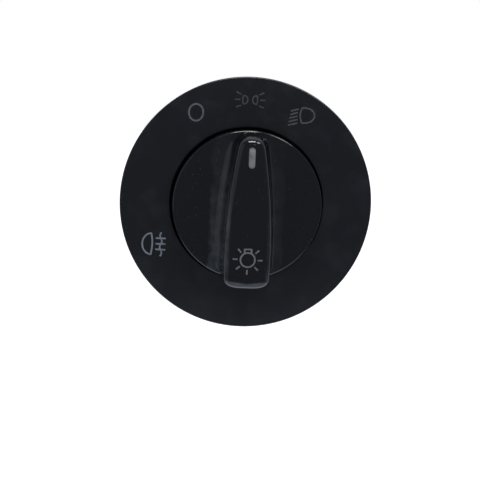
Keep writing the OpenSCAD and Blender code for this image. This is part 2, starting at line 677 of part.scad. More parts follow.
module bearing_plate() {
    color("#3a3d40") difference() {
        tube(board_r, neck_r + run_gap, bearing_back, bearing_front);
        for (a = screw_at) translate(concat(polar(screw_ring_r, a), bearing_back - 1))
            cylinder(r = screw_core_r + 0.3, h = bearing_t + 2);
        leg_hole(bearing_back - 1, bearing_front + 1, board_r + 1);
        // Lightening holes above and below the rotor's neck
        hole_r = (board_r - neck_r) / 5.5;
        for (a = [90, 240, 300]) translate(concat(polar(2 * neck_r, a), bearing_back - 1))
            cylinder(r = hole_r, h = bearing_t + 2);
    }
}
module plate_screws() {
    color("#c4c6c8") for (a = screw_at) translate(concat(polar(screw_ring_r, a), bearing_back))
        difference() {
            union() {
                cylinder(r = screw_core_r - 0.05, h = bearing_t + screw_bite);
                translate([0, 0, -screw_head_t]) cylinder(r = screw_head_r, h = screw_head_t);
            }
            arm = 0.63 * screw_head_r;
            for (t = [0, 90]) rotate([0, 0, t])
                block([-arm, arm], [-arm / 5, arm / 5], [-screw_head_t - 1, -0.4 * screw_head_t]);
        }
}

module rotor() {
    color("#e3dfd2") difference() {
        union() {
            rotate_extrude() polygon([
                [neck_bore_r, rotor_hub_back], [neck_bore_r, spring_floor],
                [spring_bore_r, spring_floor], [spring_bore_r, hub_top - 0.2],
                [neck_r, hub_top - 0.2], [neck_r, rotor_front], [rotor_r, rotor_front],
                [rotor_r, rotor_back], [rotor_bore_r, rotor_back],
                [rotor_bore_r, rotor_front - rotor_web], [neck_r + 1, rotor_front - rotor_web],
                [neck_r + 1, rotor_hub_back]]);
        }
        for (a = [0, 180]) rotate([0, 0, a])
            block([neck_bore_r - 0.5, key_r + run_gap], [-0.9, 0.9], [rotor_hub_back - 1, spring_floor + 1]);
        // Three notches for off, side lights and dipped beam
        for (step = [-1, 0, 1]) rotate([0, 0, 270 + step * turn_step])
            translate([rotor_r + 0.7, 0, rotor_back - 1]) cylinder(r = notch_r, h = rotor_l + 2);
    }
}
finger_at = [20, 140, 260];
module rotary_contact() {
    mid_r = (rotor_r + rotor_bore_r) / 2;
    drop = rotor_back - board_front - track_t - 0.1;
    color("#c98f4e") {
        arc_block(rotor_bore_r + 0.2, rotor_r - 0.2, rotor_back - 0.3, rotor_back, 0, 300);
        for (a = finger_at) rotate([0, 0, a]) translate([mid_r + 0.7, 0, rotor_back])
            rotate([90, 0, -90]) linear_extrude(1.4)
                polygon([[-4.4, -0.1], [-3.9, -0.1], [-0.6, 0.35 - drop], [0.2, 0.25 - drop],
                         [0.9, 0.45 - drop], [1, 0.2 - drop], [0.4, -drop], [-0.8, 0.1 - drop],
                         [-4.2, -0.35]]);
    }
}

yoke_x = 0.386 * rotor_bore_r;
post_y = -[0.723 * rotor_bore_r, 0.578 * rotor_bore_r];
module fog_slider() {
    z = [yoke_front - yoke_t, yoke_front];
    fork_r = groove_r + 0.15;
    color("#3a3d40") difference() {
        union() {
            block([-yoke_x, yoke_x], [post_y[0] - 1.2, 4], z);
            block([-post_half - 1.7, post_half + 1.7], [post_y[0] - 1.2, post_y[1] + 1.2], [z[0], z[1] + 1]);
        }
        // The fork opens upwards round the groove in the shaft
        translate([0, 0, z[0] - 1]) cylinder(r = fork_r, h = yoke_t + 2);
        block([-fork_r, fork_r], [0, 5], [z[0] - 1, z[1] + 1]);
        // Square hole that runs on the contact board's post
        block([-post_half - 0.2, post_half + 0.2], [post_y[0] - 0.2, post_y[1] + 0.2],
              [z[0] - 1, z[1] + 2]);
    }
}
post_half = 1.2;
clip_y = -[0.494 * rotor_bore_r, 0.325 * rotor_bore_r];
module fog_contact() {
    z0 = yoke_front - yoke_t;
    color("#c98f4e") for (side = [-1, 1]) {
        // A clip of strip round the yoke's edge, with a bowed contact face
        block(side > 0 ? [yoke_x, yoke_x + 0.3] : [-yoke_x - 0.3, -yoke_x], clip_y,
              [z0 - 0.3, yoke_front + 0.3]);
        for (z = [z0 - 0.3, yoke_front])
            block(side > 0 ? [yoke_x - 2, yoke_x + 0.1] : [-yoke_x - 0.1, -yoke_x + 2],
                  clip_y, [z, z + 0.3]);
    }
}
module fog_terminals() {
    x = yoke_x + 0.3 + 0.15;
    color("#c98f4e") for (side = [-1, 1])
        block(side > 0 ? [x, x + 0.8] : [-x - 0.8, -x], clip_y,
              [board_front, rotor_front - rotor_web - 1.5]);
}
module contact_board() {
    color("#8a6d3b") union() {
        translate([0, 0, cover_front]) cylinder(r = board_r, h = board_t);
        // Post that guides the fog slider
        block([-post_half, post_half], post_y, [board_front - 0.2, rotor_front - rotor_web - 0.6]);
    }
}
track_t = 0.25;
module contact_tracks() {
    color("#b8793f") for (span = [[-40, 66], [80, 118], [130, 196], [208, 232], [246, 310]])
        arc_block(rotor_bore_r, rotor_r, board_front, board_front + track_t, span[0], span[1]);
}
module symbol_lamps() {
    color("#f2efe2") for (a = guide_legs) rotate([0, 0, clockwise(a)])
        block([leg_r + 0.1, leg_r + leg_t - 0.1], [-lamp_w / 2, lamp_w / 2],
              [board_front, board_front + lamp_t]);
}
module knob_lamp() {
    r = 0.74 * shaft_bore_r;
    dome_r = r - 0.1;
    color("#f2efe2") translate([0, 0, board_front]) union() {
        cylinder(r = r, h = lamp_h - dome_r);
        translate([0, 0, lamp_h - dome_r]) intersection() {
            sphere(r = dome_r);
            cylinder(r = r, h = dome_r + 1);
        }
    }
}
module terminal_blades() {
    tip = cover_back - blade_l;
    color("#c9b26a") for (row = [-1, 1], i = [0 : blade_n - 1])
        translate([blade_x(i) + blade_w / 2, row * row_gap / 2, 0]) rotate([90, 0, -90])
            linear_extrude(blade_w) polygon([
                [-blade_t / 2, cover_front], [blade_t / 2, cover_front],
                [blade_t / 2, tip + 1], [blade_t / 4, tip], [-blade_t / 4, tip],
                [-blade_t / 2, tip + 1]]);
}
module rear_cover() {
    arm_l = 6.8;
    inner_w = (blade_n - 1) * blade_pitch + blade_w + 2 * socket_side;
    inner_h = row_gap + blade_t + 2 * socket_cheek;
    socket_w = inner_w + 2 * socket_wall;
    socket_h = inner_h + 2 * socket_wall;
    color("#202225") difference() {
        union() {
            translate([0, 0, cover_back]) cylinder(r = drum_r + 1.4, h = cover_t);
            translate([0, 0, socket_end]) linear_extrude(socket_l + 0.2)
                rounded_box(socket_w, socket_h, 2);
            // Ribs on the socket that guide the plug's collar
            for (x = [-9, 9], side = [-1, 1]) block([x - 0.8, x + 0.8],
                side > 0 ? [socket_h / 2 - 0.2, socket_h / 2 + 1.2]
                : [-socket_h / 2 - 1.2, -socket_h / 2 + 0.2], [socket_end + 3, cover_back + 0.2]);
            // Ramp that the plug's latch snaps over
            translate([-3, 0, 0]) rotate([90, 0, 90]) linear_extrude(6)
                polygon([[socket_h / 2 - 0.2, socket_end + 1.5], [socket_h / 2, socket_end + 1.5],
                         [socket_h / 2 + 1.5, socket_end + 5], [socket_h / 2 - 0.2, socket_end + 5]]);
            for (a = clip_at) snap_arm(a, arm_l);
        }
        translate([0, 0, socket_end - 1]) linear_extrude(socket_l + 1)
            rounded_box(inner_w, inner_h, 1);
        for (row = [-1, 1], i = [0 : blade_n - 1])
            translate([blade_x(i), row * row_gap / 2, cover_back - 1])
                linear_extrude(cover_t + 2) square([blade_w + 0.2, blade_t + 0.2], center = true);
    }
    // A key on the socket's floor sets the plug the right way round
    color("#202225") block([inner_w / 2 - 1.6, inner_w / 2 + 0.2], [-0.8, 0.8],
                           [socket_end + 2, cover_back + 0.2]);
}
module snap_arm(a, length) {
    arm = [drum_r + 0.2, drum_r + 1.4];
    rotate([0, 0, a]) difference() {
        intersection() {
            tube(arm[1], arm[0], cover_back + 0.5, cover_front + length);
            block([0, drum_r + 3], [-4.6, 4.6], [cover_back, cover_front + length + 1]);
        }
        block([drum_r - 1, drum_r + 3], [-3.3, 3.3], [cover_front + 3.8, cover_front + 6.1]);
    }
}
module rounded_box(w, h, r) {
    union() {
        square([w - 2 * r, h], center = true);
        square([w, h - 2 * r], center = true);
        for (x = [-1, 1], y = [-1, 1]) translate([x * (w / 2 - r), y * (h / 2 - r)]) circle(r = r);
    }
}

upright() faceplate();
upright() light_guide();
upright() knob();
upright() pointer_light_guide();
upright() shaft();
upright() shaft_clip();
upright() push_spring();
upright() release_ring();
upright() ring_washer();
upright() latch_left();
upright() latch_right();
upright() latch_spring_left();
upright() latch_spring_right();
upright() housing();
upright() bearing_plate();
upright() plate_screws();
upright() rotor();
upright() rotary_contact();
upright() detent_spring();
upright() fog_slider();
upright() fog_contact();
upright() fog_terminals();
upright() contact_board();
upright() contact_tracks();
upright() symbol_lamps();
upright() knob_lamp();
upright() terminal_blades();
upright() rear_cover();
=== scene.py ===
"""Studio scene of a rotary headlight switch that clips into a round hole in a dashboard.

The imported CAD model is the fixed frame. Pieces are drawn in millimetres with x to the right,
y up and z along the knob's axis towards the driver, as the CAD modules are, and row_point()
turns them into the frame, in metres.
"""

import json
import logging
import math
from collections.abc import Callable, Sequence
from dataclasses import dataclass, field
from enum import Enum
from functools import cached_property

import bmesh
import bpy
from mathutils import Euler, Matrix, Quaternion, Vector

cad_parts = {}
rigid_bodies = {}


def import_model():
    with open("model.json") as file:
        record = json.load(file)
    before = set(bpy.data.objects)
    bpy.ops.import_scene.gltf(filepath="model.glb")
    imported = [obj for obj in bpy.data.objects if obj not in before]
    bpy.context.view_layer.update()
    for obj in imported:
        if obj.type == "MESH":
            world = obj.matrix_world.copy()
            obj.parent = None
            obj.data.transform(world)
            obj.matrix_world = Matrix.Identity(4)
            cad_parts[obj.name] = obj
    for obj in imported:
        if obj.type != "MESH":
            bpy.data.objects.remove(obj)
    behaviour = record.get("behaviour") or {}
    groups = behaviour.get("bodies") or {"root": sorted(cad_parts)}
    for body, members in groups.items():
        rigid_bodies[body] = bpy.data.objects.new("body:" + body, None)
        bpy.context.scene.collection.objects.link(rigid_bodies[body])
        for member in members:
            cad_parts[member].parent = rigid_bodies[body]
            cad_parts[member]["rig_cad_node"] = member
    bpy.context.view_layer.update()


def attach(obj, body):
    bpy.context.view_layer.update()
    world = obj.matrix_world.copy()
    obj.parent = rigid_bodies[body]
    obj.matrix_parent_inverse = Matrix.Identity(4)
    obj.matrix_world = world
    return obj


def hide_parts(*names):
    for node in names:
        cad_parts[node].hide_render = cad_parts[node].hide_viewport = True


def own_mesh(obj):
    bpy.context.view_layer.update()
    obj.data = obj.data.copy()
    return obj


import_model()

log = logging.getLogger("headlight_switch")

MM = 0.001
Point = tuple[float, float, float]
Flat = tuple[float, float]
Piece = bpy.types.Object
Socket = bpy.types.NodeSocket
Tree = bpy.types.NodeTree
Number = float | Socket


def row_point(point: Sequence[float]) -> Vector:
    """Turn a drawn point, in millimetres, into the frame, in metres."""
    x, y, z = point
    return Vector((x, -z, y)) * MM


def polar(radius: float, clockwise: float) -> Flat:
    """Place a point on the face by its radius and its degrees clockwise from straight up."""
    a = math.radians(clockwise)
    return radius * math.sin(a), radius * math.cos(a)


def arc(centre: Flat, radius: float, start: float, end: float, steps: int) -> list[Flat]:
    """Draw an arc as points, between two angles in degrees from the first axis."""
    angles = [math.radians(start + (end - start) * i / steps) for i in range(steps + 1)]
    return [(centre[0] + radius * math.cos(a), centre[1] + radius * math.sin(a)) for a in angles]


# ------------ Meshes ------------
@dataclass
class Shell:
    """One or more closed surfaces, in millimetres, with z towards the driver."""

    points: list[Point] = field(default_factory=list)
    faces: list[tuple[int, ...]] = field(default_factory=list)

    def __add__(self, other: "Shell") -> "Shell":
        """Put two shells into one."""
        n = len(self.points)
        return Shell(self.points + other.points,
                     self.faces + [tuple(i + n for i in f) for f in other.faces])

    @classmethod
    def skinned(cls, rings: Sequence[Sequence[Point]], loop: bool = False) -> "Shell":
        """Skin rings of equal count and leave the ends open.

        Args:
            rings: Rings of points, in order along the shape.
            loop: True where the last ring meets the first.

        Returns:
            The surface.
        """
        n, count = len(rings[0]), len(rings)
        faces = [(r * n + i, r * n + (i + 1) % n, (r + 1) % count * n + (i + 1) % n,
                  (r + 1) % count * n + i)
                 for r in range(count if loop else count - 1) for i in range(n)]
        return cls([p for ring in rings for p in ring], faces)

    @classmethod
    def turned(cls, profile: Sequence[Flat], steps: int = 256) -> "Shell":
        """Turn a closed profile of radii and heights round the knob's axis."""
        return cls.skinned([[(*polar(r, 360 * i / steps), z) for r, z in profile]
                            for i in range(steps)], loop=True)

    @classmethod
    def lofted(cls, rings: Sequence[Sequence[Point]], open_end: bool = False) -> "Shell":
        """Skin rings of equal count and close both ends.

        Args:
            rings: Rings of points, in order along the shape.
            open_end: True where another surface closes the last ring.

        Returns:
            The closed shell.
        """
        shell = cls.skinned(rings)
        n, last = len(rings[0]), len(shell.points) - len(rings[0])
        shell.faces.append(tuple(range(n - 1, -1, -1)))
        if not open_end:
            shell.faces.append(tuple(range(last, last + n)))
        return shell

    @classmethod
    def prism(cls, outline: Sequence[Flat], low: float, high: float) -> "Shell":
        """Raise an outline in x and y from one height to another."""
        return cls.lofted([[(x, y, z) for x, y in outline] for z in (low, high)])

    @classmethod
    def block(cls, x: Sequence[float], y: Sequence[float], z: Sequence[float]) -> "Shell":
        """Make a block between two values on each axis."""
        return cls.prism([(x[0], y[0]), (x[1], y[0]), (x[1], y[1]), (x[0], y[1])], *z)


def make_piece(name: str, shell: Shell, sharp: float = 35.0,
               finish: "Finish | None" = None) -> Piece:
    """Make an object from a shell, with its place in its mesh.

    Args:
        name: Name of the object.
        shell: Its closed surfaces.
        sharp: Edges steeper than this many degrees stay sharp.
        finish: Its finish, unless it gets one later.

    Returns:
        The object, at the origin, unturned and unscaled.
    """
    mesh = bpy.data.meshes.new(name)
    mesh.from_pydata([row_point(p) for p in shell.points], [], shell.faces)
    piece = bpy.data.objects.new(name, mesh)
    bpy.context.scene.collection.objects.link(piece)
    tidy_mesh(mesh, sharp)
    if finish:
        paint(piece, finish)
    return piece


def tidy_mesh(mesh: bpy.types.Mesh, sharp: float) -> None:
    """Merge doubles, turn the faces outwards and shade the mesh.

    Args:
        mesh: The mesh, of closed shells.
        sharp: Edges steeper than this many degrees stay sharp.
    """
    work = bmesh.new()
    work.from_mesh(mesh)
    bmesh.ops.remove_doubles(work, verts=work.verts, dist=1e-7)
    bmesh.ops.dissolve_degenerate(work, edges=work.edges, dist=1e-7)
    bmesh.ops.recalc_face_normals(work, faces=work.faces)
    work.to_mesh(mesh)
    work.free()
    mesh.shade_smooth()
    mesh.set_sharp_from_angle(angle=math.radians(sharp))


class Operation(Enum):
    """What a Boolean modifier does with its tool."""

    CUT = "DIFFERENCE"
    JOIN = "UNION"


def combine(base: Piece, tool: Piece, operation: Operation,
            sharp: float = 35.0) -> None:
    """Cut or join a piece with another one, which is used up.

    Args:
        base: The piece that stays.
        tool: The piece that is used up.
        operation: What is done.
        sharp: Edges steeper than this many degrees stay sharp.
    """
    modifier = base.modifiers.new("combine", "BOOLEAN")
    modifier.operation = operation.value
    modifier.solver = "EXACT"
    modifier.use_self = True
    modifier.object = tool
    bake(base)
    bpy.data.objects.remove(tool)
    tidy_mesh(base.data, sharp)


def bake(piece: Piece) -> None:
    """Turn a piece's modifiers into a plain mesh and remove them.

    Args:
        piece: The piece, which keeps its name and its mesh's name.
    """
    graph = bpy.context.evaluated_depsgraph_get()
    graph.update()
    mesh = bpy.data.meshes.new_from_object(piece.evaluated_get(graph))
    piece.modifiers.clear()
    old, piece.data = piece.data, mesh
    name = old.name
    bpy.data.meshes.remove(old)
    mesh.name = name


def paint(piece: Piece, finish: "Finish") -> None:
    """Give a whole piece one finish.

    Args:
        piece: The piece, which loses any other material.
        finish: The finish.
    """
    piece.data.materials.clear()
    piece.data.materials.append(finish.material())
    piece.data.polygons.foreach_set("material_index", [0] * len(piece.data.polygons))


def merge(pieces: Sequence[Piece]) -> Piece:
    """Put the meshes of several pieces of one body into the first of them.

    Args:
        pieces: The pieces, all at the origin.

    Returns:
        The first piece, which keeps every piece's material.
    """
    first = pieces[0]
    work = bmesh.new()
    for piece in pieces:
        slot_of = []
        for material in piece.data.materials:
            if material.name not in first.data.materials:
                first.data.materials.append(material)
            slot_of.append(first.data.materials.find(material.name))
        before = len(work.faces)
        work.from_mesh(piece.data)
        work.faces.ensure_lookup_table()
        for face in work.faces[before:]:
            if slot_of:
                face.material_index = slot_of[min(face.material_index, len(slot_of) - 1)]
    work.to_mesh(first.data)
    work.free()
    for piece in pieces[1:]:
        bpy.data.objects.remove(piece)
    return first


# ------------ Nodes ------------
def add_node(tree: Tree, kind: str, settings: dict | None = None,
             links: dict | None = None) -> bpy.types.Node:
    """Add a node with its settings and links.

    Args:
        tree: The node tree.
        kind: The node's type.
        settings: The node's own properties.
        links: A value, or another node's output, for each input by name or number.

    Returns:
        The node.
    """
    node = tree.nodes.new(kind)
    for key, value in (settings or {}).items():
        setattr(node, key, value)
    for key, value in (links or {}).items():
        if isinstance(value, Socket):
            tree.links.new(value, node.inputs[key])
        else:
            node.inputs[key].default_value = value
    return node


def maths(tree: Tree, operation: str, *values: Number,
          clamp: bool = False) -> Socket:
    """Add a maths node for up to three numbers or sockets."""
    return add_node(tree, "ShaderNodeMath", {"operation": operation, "use_clamp": clamp},
                    dict(enumerate(values))).outputs[0]


def map_range(tree: Tree, value: Number, low: Number, high: Number,
              to: tuple[Number, Number] = (0.0, 1.0),
              smooth: bool = False) -> Socket:
    """Stretch a value from one range to another.

    Args:
        tree: The node tree.
        value: What is stretched.
        low: Where the result starts.
        high: Where the result ends, which may be below low.
        to: The result's first and last value.
        smooth: True where the result eases in and out.

    Returns:
        The result, clamped to its range.
    """
    kind = "SMOOTHSTEP" if smooth else "LINEAR"
    return add_node(tree, "ShaderNodeMapRange", {"interpolation_type": kind}, {
        "Value": value, "From Min": low, "From Max": high, "To Min": to[0],
        "To Max": to[1]}).outputs[0]


def seen_directly(tree: Tree) -> Socket:
    """Tell the rays of the camera, also through clear plastic, from the others."""
    path = add_node(tree, "ShaderNodeLightPath").outputs
    return maths(tree, "MAXIMUM", path["Is Camera Ray"], path["Is Transmission Ray"])


def linear(hex_colour: str) -> tuple[float, float, float, float]:
    """Turn an sRGB hex colour into linear RGBA.

    Args:
        hex_colour: The colour as six hex digits after a hash sign.

    Returns:
        Red, green, blue and alpha.
    """
    parts = [int(hex_colour[i:i + 2], 16) / 255 for i in (1, 3, 5)]
    r, g, b = [c / 12.92 if c <= 0.04045 else ((c + 0.055) / 1.055) ** 2.4 for c in parts]
    return r, g, b, 1.0


# ------------ Finishes ------------
@dataclass(frozen=True)
class Finish:
    """Finish of a surface, from its material and the way that the surface was made."""

    name: str
    colour: str
    roughness: float

    def material(self) -> bpy.types.Material:
        """Build the material, or find it if it has been built.

        Returns:
            The procedural material.
        """
        made = bpy.data.materials.get(self.name)
        if made:
            return made
        made = bpy.data.materials.new(self.name)
        made.use_nodes = True
        tree = made.node_tree
        tree.nodes.clear()
        shader = add_node(tree, "ShaderNodeBsdfPrincipled", links={
            "Base Color": linear(self.colour), "Roughness": self.roughness})
        add_node(tree, "ShaderNodeOutputMaterial", links={"Surface": shader.outputs[0]})
        self.dress(Shader(tree, shader))
        return made

    def dress(self, on: "Shader") -> None:
        """Add this finish's own pattern to its shader."""
        raise NotImplementedError


class Shader:
    """Principled shader of one material, with the few moves that every finish is made of."""

    def __init__(self, tree: Tree, shader: bpy.types.Node) -> None:
        """Keep the tree and find the object's own coordinates.

        Args:
            tree: The material's node tree.
            shader: Its principled shader.
        """
        self.tree = tree
        self.shader = shader
        self.place = add_node(tree, "ShaderNodeTexCoord").outputs["Object"]

    def set(self, **values: object) -> None:
        """Give constants or sockets to inputs, whose names have underscores for spaces."""
        for key, value in values.items():
            socket = self.shader.inputs[key.replace("_", " ")]
            if isinstance(value, Socket):
                self.tree.links.new(value, socket)
            else:
                socket.default_value = value

    def axes(self) -> bpy.types.bpy_prop_collection:
        """Split the place into X, Y and Z."""
        return add_node(self.tree, "ShaderNodeSeparateXYZ", links={"Vector": self.place}).outputs

    def noise(self, size_mm: float, detail: float = 2.0,
              place: Socket | None = None) -> Socket:
        """Make noise whose lumps are about this many millimetres across."""
        return add_node(self.tree, "ShaderNodeTexNoise", links={
            "Vector": place or self.place, "Scale": 1 / (size_mm * MM),
            "Detail": detail}).outputs[0]

    def blotches(self, size_mm: float, span: Flat, detail: float = 2.0,
                 seed: float = 0.0) -> Socket:
        """Make soft irregular patches.

        Args:
            size_mm: Size of a patch.
            span: Noise values at which the mask is nought and one.
            detail: Octaves of the noise.
            seed: Offset in millimetres that gives another pattern of the same kind.

        Returns:
            A mask from nought to one.
        """
        moved = add_node(self.tree, "ShaderNodeMapping", links={
            "Vector": self.place, "Location": (seed * MM, seed * MM, seed * MM)}).outputs[0]
        return map_range(self.tree, self.noise(size_mm, detail, moved), *span)

    def bump(self, height: Socket, strength: float, depth_mm: float) -> None:
        """Raise the surface where the height is greater."""
        self.set(Normal=add_node(self.tree, "ShaderNodeBump", links={
            "Height": height, "Strength": strength, "Distance": depth_mm * MM}).outputs[0])

    def stain(self, amount: Socket, clean: str, stained: str) -> None:
        """Blend from one colour to another."""
        self.set(Base_Color=add_node(self.tree, "ShaderNodeMix", {"data_type": "RGBA"}, {
            0: amount, 6: linear(clean), 7: linear(stained)}).outputs[2])


@dataclass(frozen=True)
class MouldedPlastic(Finish):
    """Injection-moulded plastic with the grain of its mould and, where it shows, dust."""

    grain_mm: float = 0.3
    grain_depth: float = 0.1
    dust: float = 0.0
    dust_colour: str = "#6c7076"
    ior: float = 1.5
    subsurface: float = 0.0

    def dress(self, on: Shader) -> None:
        """Add grain, uneven sheen and a thin film of dust and wiped patches.

        Args:
            on: The material's shader.
        """
        on.set(IOR=self.ior)
        if self.subsurface:
            on.set(Subsurface_Weight=self.subsurface, Subsurface_Scale=1.0,
                   Subsurface_Radius=(1.2 * MM, 1.1 * MM, 0.8 * MM))
        on.bump(on.noise(self.grain_mm), self.grain_depth, self.grain_mm * 0.25)
        rough = map_range(on.tree, on.blotches(9.0, (0.35, 0.7)), 0.0, 1.0,
                          (self.roughness - 0.03, self.roughness + 0.05))
        on.set(Roughness=rough)
        if self.dust:
            amount = maths(on.tree, "MULTIPLY", self.dust_mask(on), self.dust, clamp=True)
            on.stain(amount, self.colour, self.dust_colour)
            on.set(Roughness=maths(on.tree, "MULTIPLY_ADD", amount, 0.4, rough, clamp=True))

    def dust_mask(self, on: Shader) -> Socket:
        """Make scattered specks in loose patches, with a faint even haze.

        Args:
            on: The material's shader.

        Returns:
            A mask from nought to one.
        """
        specks = on.blotches(0.55, (0.66, 0.76), seed=31.0)
        patches = on.blotches(7.0, (0.5, 0.78), detail=3.0, seed=12.0)
        return maths(on.tree, "MULTIPLY",
                     maths(on.tree, "MULTIPLY_ADD", specks, 0.35, 0.22), patches)


@dataclass(frozen=True)
class KnobPlastic(MouldedPlastic):
    """Polished black plastic of the knob, with a pale band in the hollows beside the grip."""

    hollow_mm: Flat = (5.6, 10.6)

    def dust_mask(self, on: Shader) -> Socket:
        """Make a pale band in the hollows beside the grip, paler towards the heel and on the left,
        and dust specks all over.

        Args:
            on: The material's shader.

        Returns:
            A mask from nought, which specks take past one.
        """
        x, _, z = on.axes()
        side = maths(on.tree, "ABSOLUTE", x)
        edge = maths(on.tree, "MULTIPLY_ADD", on.noise(5.5, 3.0), 4.0 * MM, side)
        near, far = self.hollow_mm
        parts = [map_range(on.tree, side, (near - 0.6) * MM, near * MM),
                 map_range(on.tree, edge, (far + 2.2) * MM, (far + 1.2) * MM),
                 # the band is made paler towards the heel and on the left
                 map_range(on.tree, z, 16 * MM, -16 * MM, (0.12, 1.0)),
                 map_range(on.tree, x, 8 * MM, -6 * MM, (0.35, 1.0)),
                 on.blotches(4.5, (0.25, 0.8), detail=3.5, seed=7.0)]
        mask = parts[0]
        for part in parts[1:]:
            mask = maths(on.tree, "MULTIPLY", mask, part)
        specks = on.blotches(0.5, (0.69, 0.76), seed=31.0)
        return maths(on.tree, "MULTIPLY_ADD", specks, 0.8, mask)


@dataclass(frozen=True)
class WindowPlastic(MouldedPlastic):
    """Frosted plastic of the pointer's window, browned in its middle by the lamp behind it."""

    middle_mm: float = 14.9
    half_mm: float = 1.9

    def dust_mask(self, on: Shader) -> Socket:
        """Make the ragged brown patch half-way along the window.

        Args:
            on: The material's shader.

        Returns:
            A mask from nought to one.
        """
        away = maths(on.tree, "SUBTRACT", on.axes()["Z"], self.middle_mm * MM)
        band = map_range(on.tree, maths(on.tree, "ABSOLUTE", away), self.half_mm * MM, 0.1 * MM,
                         smooth=True)
        return maths(on.tree, "MULTIPLY", band,
                     on.blotches(1.0, (0.3, 0.62), detail=3.0, seed=5.0))


@dataclass(frozen=True)
class ClearPlastic(Finish):
    """Clear moulded plastic that carries light."""

    def dress(self, on: Shader) -> None:
        """Let light through and add the faint waves of a moulded surface."""
        on.set(IOR=1.585, Transmission_Weight=0.85)
        on.bump(on.noise(2.5, 1.0), 0.12, 0.1)


@dataclass(frozen=True)
class WorkedMetal(Finish):
    """Metal with the fine lines of drawing, rolling or stamping."""

    line_mm: float = 0.25
    stretch: Point = (1.0, 1.0, 0.15)
    tarnish: str = "#4a4640"

    def dress(self, on: Shader) -> None:
        """Add lines along the working direction and a little uneven tarnish.

        Args:
            on: The material's shader.
        """
        on.set(Metallic=1.0)
        drawn = add_node(on.tree, "ShaderNodeMapping", links={
            "Vector": on.place, "Scale": self.stretch}).outputs[0]
        lines = on.noise(self.line_mm, 3.0, drawn)
        on.bump(lines, 0.2, 0.05)
        patches = on.blotches(3.0, (0.5, 0.8), detail=4.0)
        on.stain(maths(on.tree, "MULTIPLY", patches, 0.3), self.colour, self.tarnish)
        on.set(Roughness=map_range(on.tree, lines, 0.0, 1.0,
                                   (self.roughness - 0.08, self.roughness + 0.12)))


@dataclass(frozen=True)
class Laminate(Finish):
    """Punched paper laminate of the contact board, with its pressed fibres."""

    fibre_mm: float = 0.6

    def dress(self, on: Shader) -> None:
        """Mottle the resin with lighter fibres.

        Args:
            on: The material's shader.
        """
        fibres = on.blotches(self.fibre_mm, (0.4, 0.7), detail=5.0)
        on.stain(fibres, self.colour, "#a98a55")
        on.bump(fibres, 0.15, 0.05)


@dataclass(frozen=True)
class EtchedMark(Finish):
    """Paint cut away by laser, so the pale layer under the black shows."""

    wear: float = 0.35

    def dress(self, on: Shader) -> None:
        """Make the marking a little uneven along its lines, as an etched one is."""
        uneven = on.blotches(0.8, (0.3, 0.7), detail=3.0)
        on.stain(maths(on.tree, "MULTIPLY", uneven, self.wear), self.colour, "#15171a")


# Painted ABS from a spark-eroded mould: a satin black that shows no texture from a distance.
# The mould's grain is near 0.1 mm and is drawn at 0.3 mm, the least that shows.
SATIN_ABS = MouldedPlastic("black_abs_spark_eroded", "#0b0d12", 0.32, grain_mm=0.3,
                           grain_depth=0.06, dust=0.2)
# Polished ABS of the knob: deep black that mirrors the lamps, dulled and paled by dust specks and
# by a pale band in the hollows beside the grip.
GLOSS_ABS = KnobPlastic("black_abs_polished", "#0a0b0e", 0.11, grain_mm=0.5,
                        grain_depth=0.02, dust=0.28, dust_colour="#7b8084")
# Natural acetal: a waxy off-white that slides without grease and lets a little light in.
NATURAL_ACETAL = MouldedPlastic("acetal_moulded", "#e0dccf", 0.38, grain_mm=0.6,
                                grain_depth=0.05, ior=1.48, subsurface=0.15)
# Cream acetal of the shaft and the release ring, a shade darker than the latches.
CREAM_ACETAL = MouldedPlastic("acetal_cream_moulded", "#cfc9b8", 0.40, grain_mm=0.6,
                              grain_depth=0.05, ior=1.48, subsurface=0.15)
# Glass-filled nylon: a dry dark surface whose fibres show as a fine mottle.
BLACK_NYLON = MouldedPlastic("black_nylon_glass_filled", "#1b1d20", 0.50, grain_mm=0.45,
                             grain_depth=0.28, dust=0.25, dust_colour="#5c5f62")
GREY_NYLON = MouldedPlastic("grey_nylon_glass_filled", "#3a3d40", 0.52, grain_mm=0.45,
                            grain_depth=0.28)
# Clear polycarbonate of the light guides: glassy, with the slight waves of moulding.
CLEAR_PC = ClearPlastic("clear_polycarbonate_moulded", "#dfe5e6", 0.08)
# Frosted end of the pointer's light guide: it scatters light, so the slot looks pale grey.
FROSTED_PC = WindowPlastic("frosted_polycarbonate", "#7f8180", 0.35, grain_mm=0.4,
                           grain_depth=0.05, ior=1.585, dust=0.75, dust_colour="#3a2f25")
# Drawn spring steel: thin bright lines along the wire.
SPRING_STEEL = WorkedMetal("spring_steel_drawn", "#b6b9bd", 0.30, line_mm=0.2)
# Zinc-plated steel of the screws: a bluish silver with a soft sheen.
ZINC_STEEL = WorkedMetal("zinc_plated_steel", "#c2c6ca", 0.34, line_mm=0.3,
                         stretch=(1.0, 0.3, 1.0), tarnish="#7d7f78")
# Rolled phosphor bronze of the contacts: a reddish spring metal with rolling lines.
BRONZE = WorkedMetal("phosphor_bronze_rolled", "#c98f4e", 0.30, line_mm=0.25,
                     tarnish="#6d4a2a")
# Tinned brass of the terminals: pale gold under a thin grey tin.
TINNED_BRASS = WorkedMetal("tinned_brass_stamped", "#cbbd8e", 0.32, line_mm=0.25,
                           stretch=(1.0, 0.15, 1.0), tarnish="#8f7b45")
# Bare copper tracks of the contact board, worn bright by the sliding contact.
COPPER = WorkedMetal("copper_track_rolled", "#b8793f", 0.28, line_mm=0.3,
                     tarnish="#6b4326")
# Paper laminate: brown, with lighter pressed fibres about 0.6 mm across.
PAPER_LAMINATE = Laminate("phenolic_paper_punched", "#7d6236", 0.5)
# Cast resin of the lamps: a milky dome.
LAMP_RESIN = MouldedPlastic("lamp_resin_cast", "#efebdc", 0.18, grain_mm=0.8,
                            grain_depth=0.02, subsurface=0.3)


